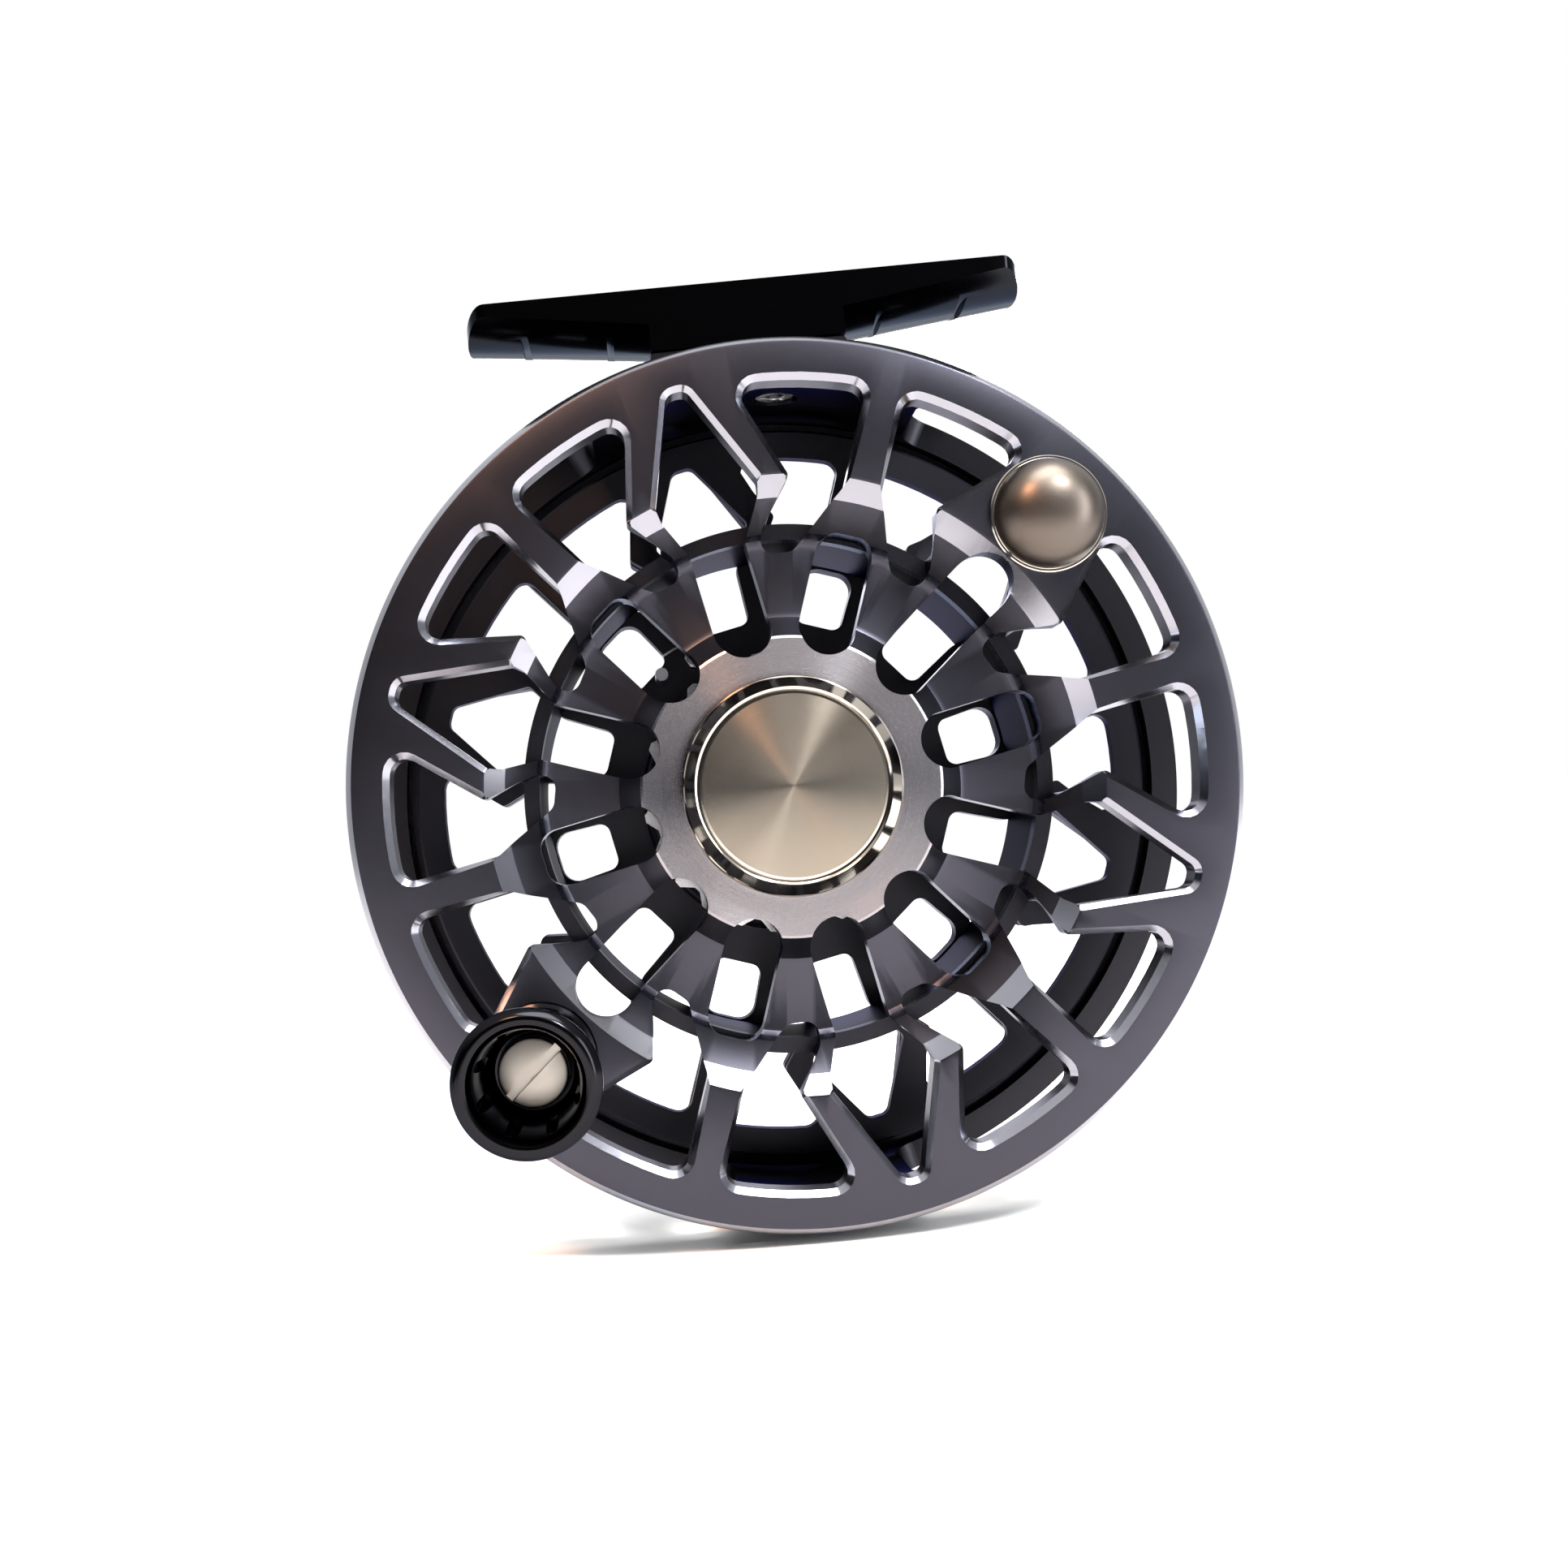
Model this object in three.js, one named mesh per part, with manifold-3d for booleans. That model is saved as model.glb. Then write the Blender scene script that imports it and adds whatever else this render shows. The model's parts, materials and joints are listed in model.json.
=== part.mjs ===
// Large-arbor fly reel with a V-lattice spool, full-cage frame, sealed disc drag, click pawl and handle.
// Millimetres. The reel is modelled with the spool axis on +Y through (0, 0), the handle side facing -Y and
// the foot up (+Z); the whole group is then lowered so that the origin is the seat in the middle of the foot.
import * as THREE from "three";
import { mergeVertices } from "three/addons/utils/BufferGeometryUtils.js";
import Module from "manifold-3d";

const wasm = await Module();
wasm.setup();

// ---- driving dimensions ----
const SEG = 48; // facets round a large circle
const GAP = 0.3; // clearance between neighbouring pieces
const SECTOR0 = 41.6; // angle of the counterweight's sector, degrees from +X toward +Z
const SPOOL_R = 49.5; // rim
const RIM_T = 3.6; // rim and front flange thickness
const PORT_R = 44.6; // outer edge of the wide ports
const STEP_R = 34.2; // inner edge of the flat front flange
const ARBOR_RO = 30.5, ARBOR_RI = 28.7;
const WEB_Y0 = 7.5, WEB_Y1 = 10.5; // recessed web
const HUB_FACE_R = 17.0, HUB_FACE_Y = 4.5;
const HUB_TUBE_R = 14.0, HUB_TUBE_Y1 = 20.4;
const SLOT_HALF = 3.27; // half width of the radial slots
const REAR_Y0 = 22.6, REAR_Y1 = 24.4, REAR_R = 44.8, REAR_PORT_R = 41.4; // rear flange
const HEX_AF = 14.6; // drive hexagon across flats
const FRAME_RO = 49.3, FRAME_RI = 46.2;
const FRAME_FRONT_Y0 = 4.3, FRAME_FRONT_Y1 = 7.2; // front ring of the cage
const FRAME_Y0 = 25.6, FRAME_Y1 = 29.0; // back plate
const FRAME_HUB_RO = 21.5, FRAME_HUB_RI = 16.9;
const FRAME_PORT_R = 44.2;
const BLOCK_HALF = 24; // half angle of the foot block, degrees
const PILLAR_HALF = 12.5; // half angle of the pillar opposite the foot
const PAD_Z = 50.7, PAD_HALF = 11.2; // flat pad that the foot is screwed to
const FOOT_Z = 58.0, FOOT_L = 64.6, FOOT_W = 14.6, FOOT_Y = 14.0; // rim height, length, width and middle of the foot
const SADDLE_SAG = 1.5, SADDLE_FLAT = 3.0; // hollow of the foot's top, and the flat strip in its middle
const HOUSING_R = 16.5;
const BOSS_R = 40.4; // radius of the handle and counterweight centres
const HANDLE_DEG = SECTOR0 + 180;
const KNOB_LEN = 25.2, KNOB_R = 7.3;
const SEAT_Z = FOOT_Z - SADDLE_SAG; // height of the seat above the spool axis

// ---- helpers ----
const rad = (d) => (d * Math.PI) / 180;
const V = (x, y) => new THREE.Vector2(x, y);

function solid(geometry) {
  let g = geometry.index ? geometry.toNonIndexed() : geometry.clone();
  for (const k of Object.keys(g.attributes)) if (k !== "position") g.deleteAttribute(k);
  g = mergeVertices(g, 1e-4);
  const keep = [];
  const ix = g.index.array;
  for (let i = 0; i < ix.length; i += 3)
    if (ix[i] !== ix[i + 1] && ix[i + 1] !== ix[i + 2] && ix[i] !== ix[i + 2]) keep.push(ix[i], ix[i + 1], ix[i + 2]);
  return new wasm.Manifold(
    new wasm.Mesh({ numProp: 3, vertProperties: g.attributes.position.array, triVerts: new Uint32Array(keep) }),
  );
}
function geometryOf(m) {
  const s = m.getMesh(), n = s.numProp, p = new Float32Array(s.numVert * 3);
  for (let i = 0; i < s.numVert; i++) p.set(s.vertProperties.subarray(i * n, i * n + 3), i * 3);
  const g = new THREE.BufferGeometry();
  g.setAttribute("position", new THREE.BufferAttribute(p, 3));
  g.setIndex(new THREE.BufferAttribute(new Uint32Array(s.triVerts), 1));
  g.computeVertexNormals();
  return g;
}
// Solid of revolution about +Y from [r, y] points; a ring's profile closes on itself.
function turned(points, seg = SEG) {
  let area = 0;
  const q = points.slice();
  for (let i = 0; i < q.length; i++) {
    const a = q[i], b = q[(i + 1) % q.length];
    area += a[0] * b[1] - b[0] * a[1];
  }
  const onAxis = q[0][0] === 0;
  let list = q;
  if (area < 0) list = q.slice().reverse();
  if (!onAxis) list = list.concat([list[0]]);
  return solid(new THREE.LatheGeometry(list.map((p) => V(p[0], p[1])), seg));
}
// An outline without repeated points or points in the middle of a straight edge.
function tidy(points) {
  const q = points.filter((p, i) => {
    const b = points[(i + 1) % points.length];
    return Math.hypot(p[0] - b[0], p[1] - b[1]) > 1e-3;
  });
  return q.filter((p, i) => {
    const a = q[(i + q.length - 1) % q.length], b = q[(i + 1) % q.length];
    const cross = (p[0] - a[0]) * (b[1] - p[1]) - (p[1] - a[1]) * (b[0] - p[0]);
    return Math.abs(cross) > 1e-5;
  });
}
// Prism of an XZ outline between two depths.
function prism(points, y0, y1) {
  const outline = tidy(points);
  const g = new THREE.ExtrudeGeometry(new THREE.Shape(outline.map((p) => V(p[0], p[1]))), {
    depth: y1 - y0, bevelEnabled: false, curveSegments: 4,
  });
  g.rotateX(Math.PI / 2);
  g.translate(0, y1, 0);
  return solid(g);
}
function moved(m, matrix) {
  const g = geometryOf(m);
  g.applyMatrix4(matrix);
  return solid(g);
}
function spun(outline, deg, mirror = false) {
  const c = Math.cos(rad(deg)), s = Math.sin(rad(deg));
  return outline.map(([u, v0]) => {
    const v = mirror ? -v0 : v0;
    return [u * c - v * s, u * s + v * c];
  });
}
function arc(cx, cy, r, a0, a1, n) {
  const out = [];
  for (let i = 0; i <= n; i++) {
    const a = rad(a0 + ((a1 - a0) * i) / n);
    out.push([cx + r * Math.cos(a), cy + r * Math.sin(a)]);
  }
  return out;
}
function filleted(pts, radii, n = 1) {
  const out = [];
  pts.forEach((p, i) => {
    const r = radii[i];
    if (!r) return out.push(p);
    const P = V(...p), A = V(...pts[(i + pts.length - 1) % pts.length]), B = V(...pts[(i + 1) % pts.length]);
    const u = A.clone().sub(P).normalize(), v = B.clone().sub(P).normalize();
    const th = Math.acos(Math.min(1, Math.max(-1, u.dot(v)))), t = r / Math.tan(th / 2);
    const p0 = P.clone().addScaledVector(u, t), p1 = P.clone().addScaledVector(v, t);
    const c = P.clone().addScaledVector(u.clone().add(v).normalize(), r / Math.sin(th / 2));
    const a0 = Math.atan2(p0.y - c.y, p0.x - c.x);
    let d = Math.atan2(p1.y - c.y, p1.x - c.x) - a0;
    d = ((d + 3 * Math.PI) % (2 * Math.PI)) - Math.PI;
    for (let k = 0; k <= n; k++) out.push([c.x + r * Math.cos(a0 + (d * k) / n), c.y + r * Math.sin(a0 + (d * k) / n)]);
  });
  return out;
}
const polar = (r, deg) => [r * Math.cos(rad(deg)), r * Math.sin(rad(deg))];
const cyl = (r, y0, y1, seg = 12) => turned([[0, y0], [r, y0], [r, y1], [0, y1]], seg);
const ring = (ri, ro, y0, y1, seg = 20) => turned([[ri, y0], [ro, y0], [ro, y1], [ri, y1]], seg);
const at = (m, x, y, z) => moved(m, new THREE.Matrix4().makeTranslation(x, y, z));
const zAxis = (m) => moved(m, new THREE.Matrix4().makeRotationX(Math.PI / 2)); // +Y becomes +Z

// ---- lattice outlines in (radial, tangential) of a sector ----
const wideOutline = (ro) =>
  filleted(
    [polar(ro, 8.0), polar(ro, 14.4), polar(ro, 20.8), polar(ro, 27.2),
      [29.94, 14.93], [27.26, 10.57], [25.9, 8.2], [26.3, 4.6], [28.76, 5.28], [31.4, 7.9], [32.86, 9.3]],
    [1.8, 0, 0, 1.8, 0, 0, 1.7, 1.5, 0, 0, 0],
  );
const slotOutline = () =>
  arc(18.57, 0, SLOT_HALF, 270, 90, 4).concat(filleted([[20, SLOT_HALF], [29.2, SLOT_HALF], [29.2, -SLOT_HALF], [20, -SLOT_HALF]], [0, 2.1, 2.1, 0]));
const bossSlotOutline = () => arc(18.57, 0, SLOT_HALF, 270, 90, 4).concat(arc(30.5, 0, 3.3, 90, -90, 4));
const kiteHalf = (ro) => [[28.5, SLOT_HALF], [31.9, 5.5], [33.3, 5.85], [ro, 1.35]];
function narrowOutline(ro) {
  const h = kiteHalf(ro);
  const body = [[20, SLOT_HALF], ...h, ...h.slice().reverse().map(([u, v]) => [u, -v]), [20, -SLOT_HALF]];
  return arc(18.57, 0, SLOT_HALF, 270, 90, 4).concat(filleted(body, [0, 0, 0, 0, 1.1, 1.1, 0, 0, 0, 0]));
}
// Back-plate outlines: the same lattice without the slots' hub ends.
const backKite = (ro, ri) => {
  const h = [[ri, 2.9], [28.6, SLOT_HALF], [33.1, 5.9], [ro, 1.35]];
  return filleted([...h, ...h.slice().reverse().map(([u, v]) => [u, -v])], [1.2, 0, 0, 1.1, 1.1, 0, 0, 1.2]);
};
const backSlot = (ri, ro) => filleted([[ri, 2.9], [ro, SLOT_HALF], [ro, -SLOT_HALF], [ri, -2.9]], [1.2, 1.6, 1.6, 1.2]);

// ---- spool ----
let spool = turned([
  [HUB_TUBE_R - 3.9, HUB_FACE_Y], [HUB_FACE_R, HUB_FACE_Y], [19.3, 7.0], [20.3, WEB_Y0], [27.6, WEB_Y0], [28.8, 6.6],
  [32.2, 2.0], [STEP_R, 0], [48.6, 0], [SPOOL_R, 0.9], [SPOOL_R, RIM_T], [31.6, RIM_T], [ARBOR_RO, 5.0],
  [ARBOR_RO, REAR_Y0], [REAR_R, REAR_Y0], [REAR_R, REAR_Y1], [ARBOR_RI, REAR_Y1], [ARBOR_RI, WEB_Y1], [HUB_TUBE_R, WEB_Y1],
  [HUB_TUBE_R, HUB_TUBE_Y1], [HUB_TUBE_R - 3.9, HUB_TUBE_Y1],
]);
const frontCuts = [], rearCuts = [];
for (let i = 0; i < 6; i++) {
  const c = SECTOR0 + 60 * i, boss = i % 3 === 0;
  for (const m of [false, true]) {
    frontCuts.push(prism(spun(wideOutline(PORT_R), c, m), -1, WEB_Y1 + 0.5));
    rearCuts.push(prism(spun(wideOutline(REAR_PORT_R), c, m), 21.0, 26));
  }
  frontCuts.push(prism(spun(boss ? bossSlotOutline() : narrowOutline(PORT_R + 0.2), c), -1, WEB_Y1 + 0.5));
  frontCuts.push(prism(spun(slotOutline(), c + 30), -1, WEB_Y1 + 0.5));
  rearCuts.push(prism(spun(backKite(REAR_PORT_R + 0.2, 26), c), 21.0, 26));
}
const arborBand = ring(ARBOR_RI, ARBOR_RO, 5.0, REAR_Y1, SEG);
for (const m of frontCuts) spool = spool.subtract(m);
for (const m of rearCuts) spool = spool.subtract(m);
// the arbor is a closed band that line winds on; its front edge shows behind the ports
spool = spool.add(ring(ARBOR_RI, ARBOR_RO, WEB_Y1 - 1.2, REAR_Y1, SEG));
const hexPrism = (af, y0, y1) => turned([[0, y0], [af / Math.sqrt(3), y0], [af / Math.sqrt(3), y1], [0, y1]], 6);
spool = spool.subtract(hexPrism(HEX_AF + 0.9, 9, 25)).subtract(cyl(6.6, 0, 12, 32));
const bossAt = (deg) => [BOSS_R * Math.cos(rad(deg)), BOSS_R * Math.sin(rad(deg))];
const [wx, wz] = bossAt(SECTOR0), [hx, hz] = bossAt(HANDLE_DEG);
for (const [x, z] of [[wx, wz], [hx, hz]])
  spool = spool.subtract(at(cyl(2.3, -1, 5, 20), x, 0, z)).subtract(at(cyl(3.5, 2.0, 5, 20), x, 0, z));

// ---- cap and its parts ----
const spoolCap = turned([[0, 1.6], [10.8, 1.6], [12.4, 3.0], [12.4, 4.2], [6.2, 4.2], [6.2, 8.2], [3.6, 8.2], [3.6, 5.4], [0, 5.4]], 28);
const capRetainer = ring(2.2, 3.3, 6.0, 8.6, 24);

// ---- counterweight ----
const counterweight = at(
  turned([[0, -5.0], [2.6, -4.8], [4.6, -4.0], [5.9, -2.4], [6.25, -1.2], [6.4, -1.0], [6.4, -GAP], [2.0, -GAP], [2.0, 1.0], [1.5, 1.0], [1.5, -2.4], [0, -2.4]], 18),
  wx, 0, wz);
const rearScrew = (x, z) => at(cyl(3.1, 2.3, 3.5, 20).add(cyl(1.2, -2.0, 2.4, 16)).subtract(at(prism([[-2.6, -0.4], [2.6, -0.4], [2.6, 0.4], [-2.6, 0.4]], 3.0, 4), 0, 0, 0)), x, 0, z);
const counterweightScrew = rearScrew(wx, wz);

// ---- handle: post, two bushings, knob, screw ----
const handlePost = at(
  turned([[0, -13.0], [2.2, -13.0], [2.2, -2.0], [5.6, -2.0], [5.6, -GAP], [2.0, -GAP], [2.0, 1.0], [1.5, 1.0], [1.5, -1.6], [0, -1.6]], 14)
    .subtract(cyl(1.5, -14, -8, 16)),
  hx, 0, hz);
const handleScrewRear = at(cyl(3.1, 2.3, 3.5, 20).add(cyl(1.2, -1.2, 2.4, 16)).subtract(prism([[-2.6, -0.4], [2.6, -0.4], [2.6, 0.4], [-2.6, 0.4]], 3.0, 4)), hx, 0, hz);
const KN = -KNOB_LEN;
const handleKnob = at(
  turned([
    [3.7, -2.4], [5.9, -2.4], [6.1, -3.4], [5.6, -4.6], [5.1, -8.0], [5.1, -12.0], [5.6, -17.0], [6.6, -21.0], [7.1, -23.2], [KNOB_R, -23.8],
    [KNOB_R, -24.5], [6.7, KN], [5.7, KN], [5.3, -24.6], [4.8, -20.0], [4.3, -13.6], [2.9, -13.6], [2.9, -12.9], [3.7, -12.9],
  ], 20), hx, 0, hz);
const bushOuter = at(ring(2.26, 3.45, -12.6, -9.6, 14), hx, 0, hz);
const bushInner = at(ring(2.26, 3.45, -5.4, -2.4, 14), hx, 0, hz);
const slotDir = rad(221.6);
let handleScrew = cyl(3.6, -15.8, -13.9, 16).add(cyl(1.2, -14.0, -9.0, 16));
{
  const c = Math.cos(slotDir), s = Math.sin(slotDir), a = 4, b = 0.45;
  handleScrew = handleScrew.subtract(prism([[a * c - b * s, a * s + b * c], [-a * c - b * s, -a * s + b * c], [-a * c + b * s, -a * s - b * c], [a * c + b * s, a * s - b * c]], -16.5, -15.0));
}
handleScrew = at(handleScrew, hx, 0, hz);

// ---- frame: back plate, front ring, foot block and pillar in one piece ----
function sectorOutline(ri, ro, a0, a1, n) {
  const o = [];
  for (let i = 0; i <= n; i++) o.push(polar(ro, a0 + ((a1 - a0) * i) / n));
  for (let i = n; i >= 0; i--) o.push(polar(ri, a0 + ((a1 - a0) * i) / n));
  return o;
}
let frame = turned([[FRAME_HUB_RI, FRAME_Y0], [FRAME_RO, FRAME_Y0], [FRAME_RO, FRAME_Y1 - 0.8], [FRAME_RO - 0.8, FRAME_Y1], [FRAME_HUB_RI, FRAME_Y1]]);
for (let i = 0; i < 6; i++) {
  const c = SECTOR0 + 60 * i;
  for (const m of [false, true]) frame = frame.subtract(prism(spun(wideOutline(FRAME_PORT_R), c, m), FRAME_Y0 - 1, FRAME_Y1 + 1));
  frame = frame.subtract(prism(spun(backKite(FRAME_PORT_R + 0.2, FRAME_HUB_RO), c), FRAME_Y0 - 1, FRAME_Y1 + 1));
  frame = frame.subtract(prism(spun(backSlot(FRAME_HUB_RO, 28.6), c + 30), FRAME_Y0 - 1, FRAME_Y1 + 1));
}
frame = frame
  .add(ring(FRAME_RI, FRAME_RO, FRAME_FRONT_Y0, FRAME_FRONT_Y1, SEG))
  .add(ring(FRAME_RI, FRAME_RO, 23.6, FRAME_Y1 - 1, SEG))
  .add(prism(sectorOutline(FRAME_RI, FRAME_RO, 90 - BLOCK_HALF, 90 + BLOCK_HALF, 8), FRAME_FRONT_Y0, FRAME_Y1 - 0.8))
  .add(prism(sectorOutline(FRAME_RI, FRAME_RO, 270 - PILLAR_HALF, 270 + PILLAR_HALF, 4), FRAME_FRONT_Y0, FRAME_Y1 - 0.8))
  .add(prism([[-PAD_HALF, 47.4], [PAD_HALF, 47.4], [PAD_HALF, PAD_Z], [-PAD_HALF, PAD_Z]], FOOT_Y - 7.0, FOOT_Y + 7.0));
const footScrewX = [-3.1, 3.1];
for (const x of footScrewX) {
  frame = frame.subtract(at(zAxis(cyl(1.7, 44, 53, 10)), x, FOOT_Y, 0)).subtract(at(zAxis(cyl(2.7, 44, 48.6, 12)), x, FOOT_Y, 0));
}
// bosses for the click pawl's pin and the drag housing's three screws
const PAWL_DEG = 116.6, PAWL_R = 19.4;
const [px, pz] = polar(PAWL_R, PAWL_DEG);
frame = frame.subtract(at(cyl(1.05, 20, 30, 14), px, 0, pz));
const housingScrewDeg = [101.6 - 60 + 30, 221.6 - 30, 341.6 - 30 ];
const housingScrewAt = housingScrewDeg.map((d) => polar(19.2, d));
for (const [x, z] of housingScrewAt) frame = frame.subtract(at(cyl(1.3, 26.4, 31, 14), x, 0, z));

// ---- foot ----
const hl = FOOT_L / 2, zt = FOOT_Z;
// height of the underside at x: along its middle, and along its two long edges
const footMid = (x) => 52.7 + Math.max(0, Math.abs(x) - 11) * 0.0985;
const footEdge = (x) => 53.97 + Math.max(0, Math.abs(x) - 11) * 0.139;
const footPoints = [];
for (const x0 of [11, 16, 21.5, 27, 29.7, 30.9, 31.7, 32.15, hl]) {
  const over = Math.max(0, x0 - 29.7) / 2.6;
  const hw = Math.max(1.2, (FOOT_W / 2) * Math.sqrt(Math.max(0, 1 - over * over)));
  for (const x of [-x0, x0]) {
    for (const k of [-1, 1]) footPoints.push([x, FOOT_Y + k * hw, zt]);
    for (const k of [-1, -0.7, -0.35, 0, 0.35, 0.7, 1]) {
      const f = (k * hw) / (FOOT_W / 2);
      footPoints.push([x, FOOT_Y + k * hw, footMid(x) + (footEdge(x) - footMid(x)) * f * f]);
    }
  }
}
let reelFoot = wasm.Manifold.hull(footPoints)
  .add(prism([[-11.1, PAD_Z + GAP], [11.1, PAD_Z + GAP], [11.1, 54.6], [-11.1, 54.6]], FOOT_Y - FOOT_W / 2, FOOT_Y + FOOT_W / 2));
{
  // hollow top: a shallow trough with a flat strip in the middle
  const h = FOOT_W / 2, f = SADDLE_FLAT / 2;
  const trough = [[-h - 0.2, 0.04], [-h * 0.75, -0.66], [-h * 0.5, -1.14], [-f, -SADDLE_SAG], [f, -SADDLE_SAG], [h * 0.5, -1.14], [h * 0.75, -0.66], [h + 0.2, 0.04], [h + 0.2, 2], [-h - 0.2, 2]];
  const g = new THREE.ExtrudeGeometry(new THREE.Shape(trough.map((p) => V(p[0], p[1]))), { depth: FOOT_L + 4, bevelEnabled: false });
  g.translate(0, 0, -(FOOT_L + 4) / 2);
  g.applyMatrix4(new THREE.Matrix4().makeBasis(new THREE.Vector3(0, 1, 0), new THREE.Vector3(0, 0, 1), new THREE.Vector3(1, 0, 0)));
  g.translate(0, FOOT_Y, zt);
  reelFoot = reelFoot.subtract(solid(g));
}
for (const x of footScrewX) reelFoot = reelFoot.subtract(at(zAxis(cyl(1.7, 49, 55.4, 10)), x, FOOT_Y, 0));
const footScrew = (x) => at(zAxis(cyl(2.3, 46.4, 48.3, 12).subtract(turned([[0, 45], [1.1, 45], [1.1, 47.4], [0, 47.4]], 6)).add(cyl(1.4, 48.0, 55.1, 10))), x, FOOT_Y, 0);

// ---- drag and spindle ----
let dragHousing = turned([[9.0, 21.4], [15.4, 21.4], [HOUSING_R, 22.4], [HOUSING_R, FRAME_Y1 + GAP], [21.2, FRAME_Y1 + GAP], [21.2, 31.0], [20.6, 31.6], [15.2, 31.6], [15.2, 22.9], [9.0, 22.9]], 28);
for (const [x, z] of housingScrewAt) dragHousing = dragHousing.subtract(at(cyl(1.3, 28, 33, 14), x, 0, z)).subtract(at(cyl(1.95, 30.2, 33, 18), x, 0, z));
const housingScrew = ([x, z]) => at(cyl(1.65, 30.4, 31.5, 18).subtract(prism([[-1.3, -0.22], [1.3, -0.22], [1.3, 0.22], [-1.3, 0.22]], 31.0, 32)).add(cyl(1.0, 26.7, 30.5, 14)), x, 0, z);
const dragHub = hexPrism(HEX_AF, 11.2, 20.6)
  .add(cyl(8.0, 20.5, 23.2, 20)).add(cyl(14.6, 23.2, 24.6, 20))
  .subtract(cyl(6.3, 10, 19.0, 14)).subtract(cyl(3.5, 10, 26, 12)).subtract(cyl(6.3, 20.6, 26, 14));
const hubSeal = ring(8.3, 8.7, 21.6, 22.6, 20);
const bearingFront = ring(3.3, 6.0, 12.4, 15.0, 14);
const bearingRear = ring(3.3, 6.0, 15.8, 18.7, 14);
const clutch = ring(3.45, 6.0, 20.9, 24.3, 14);
const discCarbonFront = ring(7.0, 14.6, 24.9, 25.8);
const discSteel = ring(4.0, 14.8, 26.1, 26.6);
const discCarbonRear = ring(7.0, 14.6, 26.9, 27.8);
const pressurePlate = ring(3.5, 14.6, 28.7, 30.0, 20);
const springWasherIn = turned([[4.2, 30.3], [8.4, 30.6], [8.4, 31.0], [4.2, 30.7]], 14), springWasherOut = turned([[4.2, 31.6], [8.4, 31.3], [8.4, 31.7], [4.2, 32.0]], 14);
const coverSeal = ring(14.0, 14.9, 31.0, 31.7, 20);
const dragCover = turned([[4.6, 32.6], [10.2, 32.6], [10.2, 32.2], [20.2, 31.9], [20.2, 33.0], [18.5, 33.8], [4.6, 33.8]], 24)
  .subtract(at(cyl(0.95, 30, 35, 12), 0, 0, 12.5));
const detentSpring = at(cyl(0.6, 32.4, 33.5, 12), 0, 0, 12.5);
const detentBall = at(turned([[0, 33.7], [0.45, 33.8], [0.72, 34.1], [0.8, 34.4], [0.72, 34.7], [0.45, 35.0], [0, 35.1]], 12), 0, 0, 12.5);
let spindle = turned([[0, 9.0], [4.6, 9.0], [5.0, 9.4], [5.0, 10.8], [3.1, 10.8], [3.1, 41.0], [2.8, 41.4], [0, 41.4]], 12)
  .subtract(prism([[-3.2, -0.45], [3.2, -0.45], [3.2, 0.45], [-3.2, 0.45]], 8, 9.8));
const adjustNut = ring(3.4, 4.3, 32.5, 37.6, 14);
let dragKnob = turned([[4.6, 34.3], [10.6, 34.3], [10.6, 35.3], [14.2, 35.3], [14.2, 34.3], [15.6, 34.3], [16.0, 34.9], [16.0, 39.6], [15.0, 40.6], [12.4, 40.6], [11.4, 39.8], [6.6, 39.8], [6.6, 38.2], [4.6, 38.2]], 24);
for (let i = 0; i < 12; i++) {
  const [x, z] = polar(18.4, 30 * i + 15);
  dragKnob = dragKnob.subtract(at(cyl(3.3, 33, 42, 8), x, 0, z));
}
const knobRetainer = ring(3.4, 6.2, 38.5, 39.6, 14);

// ---- click ----
const teeth = [];
const NT = 24;
for (let i = 0; i < NT; i++) {
  const p = 360 / NT;
  teeth.push(polar(15.7, p * i), polar(16.9, p * (i + 0.3)), polar(16.9, p * (i + 0.5)), polar(15.7, p * (i + 0.8)));
}
const clickGear = prism(teeth, 17.4, 19.2).subtract(cyl(HUB_TUBE_R + 0.5, 16, 21, 24));
const pawlPin = at(cyl(0.95, 16.6, 28.6, 14).add(cyl(1.5, 16.4, 17.0, 16)), px, 0, pz);
// pawl: a short lever round the pin, its nose over a tooth space
const noseDeg = Math.round((PAWL_DEG - 9) / (360 / NT) - 0.9) * (360 / NT) + 0.9 * (360 / NT);
const [nx, nz] = polar(16.5, noseDeg);
const dirx = nx - px, dirz = nz - pz, dl = Math.hypot(dirx, dirz);
const ux = dirx / dl, uz = dirz / dl;
const P = (a, b) => [px + ux * a - uz * b, pz + uz * a + ux * b];
let clickPawl = prism([P(dl, 0), P(dl - 1.3, 0.3), P(1.2, 1.5), P(-0.6, 1.6), P(-1.5, 0.7), P(-1.5, -0.7), P(-0.6, -1.6), P(1.2, -1.5), P(dl - 1.3, -0.3)], 17.4, 19.2)
  .subtract(at(cyl(1.1, 16, 20, 16), px, 0, pz));
const [sx, sz] = polar(20.3, PAWL_DEG + 14);
const springPost = at(cyl(0.8, 17.6, 25.3, 12), sx, 0, sz);
const [qx, qz] = polar(20.95, PAWL_DEG + 6.5);
const clickSpring = prism(spun([[21.35, -2.6], [21.35, 3.6], [21.6, 3.6], [21.6, -2.6]], PAWL_DEG), 17.6, 19.0);

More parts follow.
